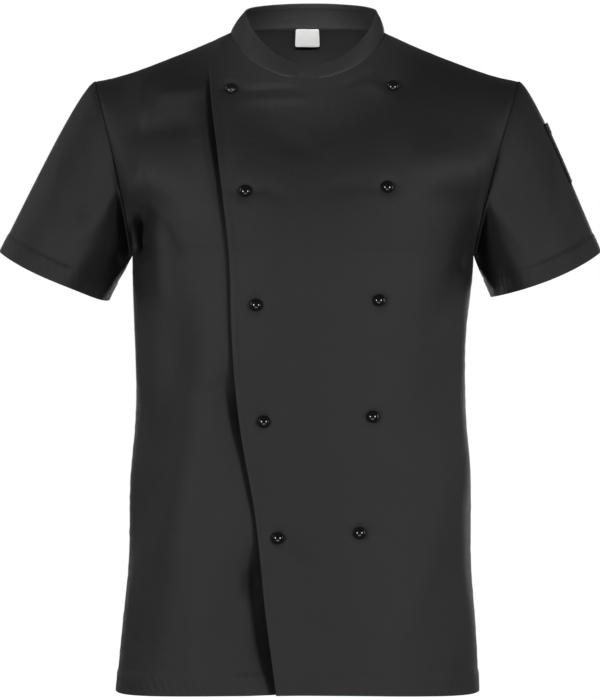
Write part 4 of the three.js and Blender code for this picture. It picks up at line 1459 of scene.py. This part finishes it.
# %% Stud finish
def make_stud_gloss():
    finish = Finish("stud_gloss")
    place = finish.node("ShaderNodeTexCoord", output="Object")
    scuffs = finish.noise(place, 900.0, 3.0)
    clouds = finish.noise(place, 240.0, 1.0)
    colour = finish.mix_colour(clouds, grey(0.004), grey(0.008))
    normal = finish.node("ShaderNodeBump", None, {"Height": scuffs, "Strength": 0.12, "Distance": 0.0001})
    shader = finish.node("ShaderNodeBsdfPrincipled", None, {
        "Base Color": colour, "Roughness": 0.05 + scuffs * 0.04, "IOR": 1.6,
        "Coat Weight": 0.4, "Coat Roughness": 0.04, "Normal": normal})
    return finish.close(shader)


stud_gloss = make_stud_gloss()
print("finish:", stud_gloss.name)

# %% Stud places
STUD = dict(radius=6.7, neck=4.2, rim=1.6, height=8.2, foot=3.2, foot_depth=1.5, roll=0.9)
REST_GAP = 0.3
SEARCH_STEP = 0.01


def find_on_front(x, z):
    """Column and row of the form at a place seen from the front."""
    column = 0.0
    row = 0.5
    for _ in range(40):
        low, high = 0.0, 0.999
        for _ in range(28):
            row = (low + high) / 2
            if bare_point(True, np.array(column), np.array(row))[2] < z:
                low = row
            else:
                high = row
        now = bare_point(True, np.array(column), np.array(row))[0]
        ahead = bare_point(True, np.array(column + SEARCH_STEP), np.array(row))[0]
        column -= SEARCH_STEP * (now - x) / (ahead - now)
    return column, row


def folded_normal(column, row, reach=0.03):
    """The way the cloth faces, over a patch as wide as a stud."""
    along = (body_point(True, np.array(column + reach), np.array(row))
             - body_point(True, np.array(column - reach), np.array(row)))
    upward = (body_point(True, np.array(column), np.array(row + reach / 2))
              - body_point(True, np.array(column), np.array(row - reach / 2)))
    return unit(np.cross(along, upward))


stud_places = {}
for k, (z, edge_x, inner_x) in enumerate(STUD_ROWS):
    for title, x, height in (("edge", edge_x, z), ("inner", inner_x, z + INNER_RISE)):
        column, row = find_on_front(x, height)
        way = folded_normal(column, row)
        seat = body_point(True, np.array(column), np.array(row)) + way * float(lap_lift(np.array(column)))
        stud_places[f"{title}_{k + 1}"] = (seat, way)
print("first stud, mm:", stud_places["edge_1"][0].round(1))

# %% Domes
def spin_profile(name, profile, segments, seat, way, material):
    """A closed solid of revolution; profile runs from axis to axis as (radius, height) in millimetres."""
    angles = np.linspace(0, FULL_TURN, segments, endpoint=False)
    side = unit(np.cross(way, (0.0, 0.0, 1.0)))
    other = np.cross(way, side)
    vertices = [seat + way * profile[0][1]]
    for radius, height in profile[1:-1]:
        for angle in angles:
            spoke = side * math.cos(angle) + other * math.sin(angle)
            vertices.append(seat + way * height + radius * spoke)
    vertices.append(seat + way * profile[-1][1])
    last = len(vertices) - 1
    rings = len(profile) - 2
    faces = []
    for k in range(segments):
        nxt = (k + 1) % segments
        faces.append((0, 1 + nxt, 1 + k))
        for ring in range(rings - 1):
            a = 1 + ring * segments
            faces.append((a + k, a + nxt, a + segments + nxt, a + segments + k))
        a = 1 + (rings - 1) * segments
        faces.append((a + k, a + nxt, last))
    mesh = bpy.data.meshes.new(name)
    mesh.from_pydata([tuple(v * MM) for v in vertices], [], faces)
    mesh.validate()
    for polygon in mesh.polygons:
        polygon.use_smooth = True
    mesh.materials.append(material)
    return add_object(name, mesh)


def stud_profile():
    """Foot, neck, rolled rim and dome."""
    foot, depth, neck, roll = STUD["foot"], STUD["foot_depth"], STUD["neck"], STUD["roll"]
    widest_z = STUD["rim"] + roll
    crown = STUD["height"] - widest_z
    profile = [(0.0, -depth), (foot, -depth), (neck - 0.4, 0.2), (neck - 0.6, 1.2)]
    for angle in np.linspace(-math.pi / 2, 0, 7):
        profile.append((STUD["radius"] - roll + roll * math.cos(angle), widest_z + roll * math.sin(angle)))
    for angle in np.linspace(0, math.pi / 2, 17)[1:-1]:
        profile.append((STUD["radius"] * math.cos(angle), widest_z + crown * math.sin(angle)))
    profile.append((0.0, STUD["height"]))
    return profile


stud_pieces = {
    key: spin_profile("dome_" + key, stud_profile(), 40, seat + way * REST_GAP, way, stud_gloss)
    for key, (seat, way) in stud_places.items()}
print("domes:", len(stud_pieces))

# %% Worked buttonholes
HOLE = dict(half_length=9.0, half_width=1.5)
BARS = dict(pitch=0.62, length=2.4, width=0.62, turn=math.pi / 2, seed=9)


def hole_outline(seat, way):
    """A long level loop round the slit, just proud of the cloth."""
    side = unit(np.cross((0.0, 0.0, 1.0), way))
    over = np.cross(way, side)
    angles = np.linspace(0, FULL_TURN, 41)
    straight = HOLE["half_length"] - HOLE["half_width"]
    reach = np.clip(np.cos(angles) * 3, -1, 1) * straight + np.cos(angles) * HOLE["half_width"]
    place = seat + reach[:, None] * side + (np.sin(angles) * HOLE["half_width"])[:, None] * over
    return place + way * 0.1, np.repeat(way[None], len(angles), axis=0)


hole_pieces = {
    key: sew("buttonhole_" + key, [hole_outline(seat, way)], **BARS)
    for key, (seat, way) in stud_places.items()}

# %% [markdown]
# ## Floor
# The jacket is held up at the shoulders, so nothing touches the floor. It lies well below, plain and
# pale, out of sight of the camera. The studs are nearly mirrors, so the floor is left out of their
# reflections.

# %% Floor
FLOOR = dict(radius=1.45, z=-1.05, corners=96)


def make_floor_finish():
    finish = Finish("pale_floor")
    shader = finish.node("ShaderNodeBsdfPrincipled", None, {"Base Color": grey(0.82), "Roughness": 0.9})
    return finish.close(shader)


floor_mesh = bpy.data.meshes.new("floor")
floor_ring = [
    (FLOOR["radius"] * math.cos(angle), FLOOR["radius"] * math.sin(angle), FLOOR["z"])
    for angle in np.linspace(0, FULL_TURN, FLOOR["corners"], endpoint=False)]
floor_mesh.from_pydata(floor_ring, [], [tuple(range(FLOOR["corners"]))])
floor_mesh.materials.append(make_floor_finish())
floor = add_object("floor", floor_mesh)
floor.visible_glossy = False
print("floor at", FLOOR["z"])

# %% [markdown]
# ## Tie the pieces to the frame
# Every piece hangs on the root of the engineering model, and the plain solid it stands for is hidden.
# Each carries its own material, and the stitches and buttonholes hang on the root as well. A garment
# piece is never a rectangle, so each sheet of cloth prints its true area when it is built.

# %% Pieces and what they stand for
cloth_pieces = {
    "back": back_piece, "front_left": over_piece, "front_right": under_piece,
    "sleeve_right": sleeve_pieces[-1], "sleeve_left": sleeve_pieces[1], "collar": collar_piece,
    "sleeve_pocket": pocket_piece, "neck_label": label_piece}

for node, piece in cloth_pieces.items():
    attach(piece, "root")
    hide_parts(node)
for key, piece in stud_pieces.items():
    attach(piece, "root")
    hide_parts("stud_" + key)
for piece in [*stitch_pieces.values(), *hole_pieces.values()]:
    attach(piece, "root")
for node, piece in cloth_pieces.items():
    with_it = [stitch_pieces[node]] if node in stitch_pieces else []
    if node == "front_left":
        with_it += list(hole_pieces.values())
print("pieces:", len(cloth_pieces) + len(stitch_pieces) + len(stud_pieces) + len(hole_pieces))
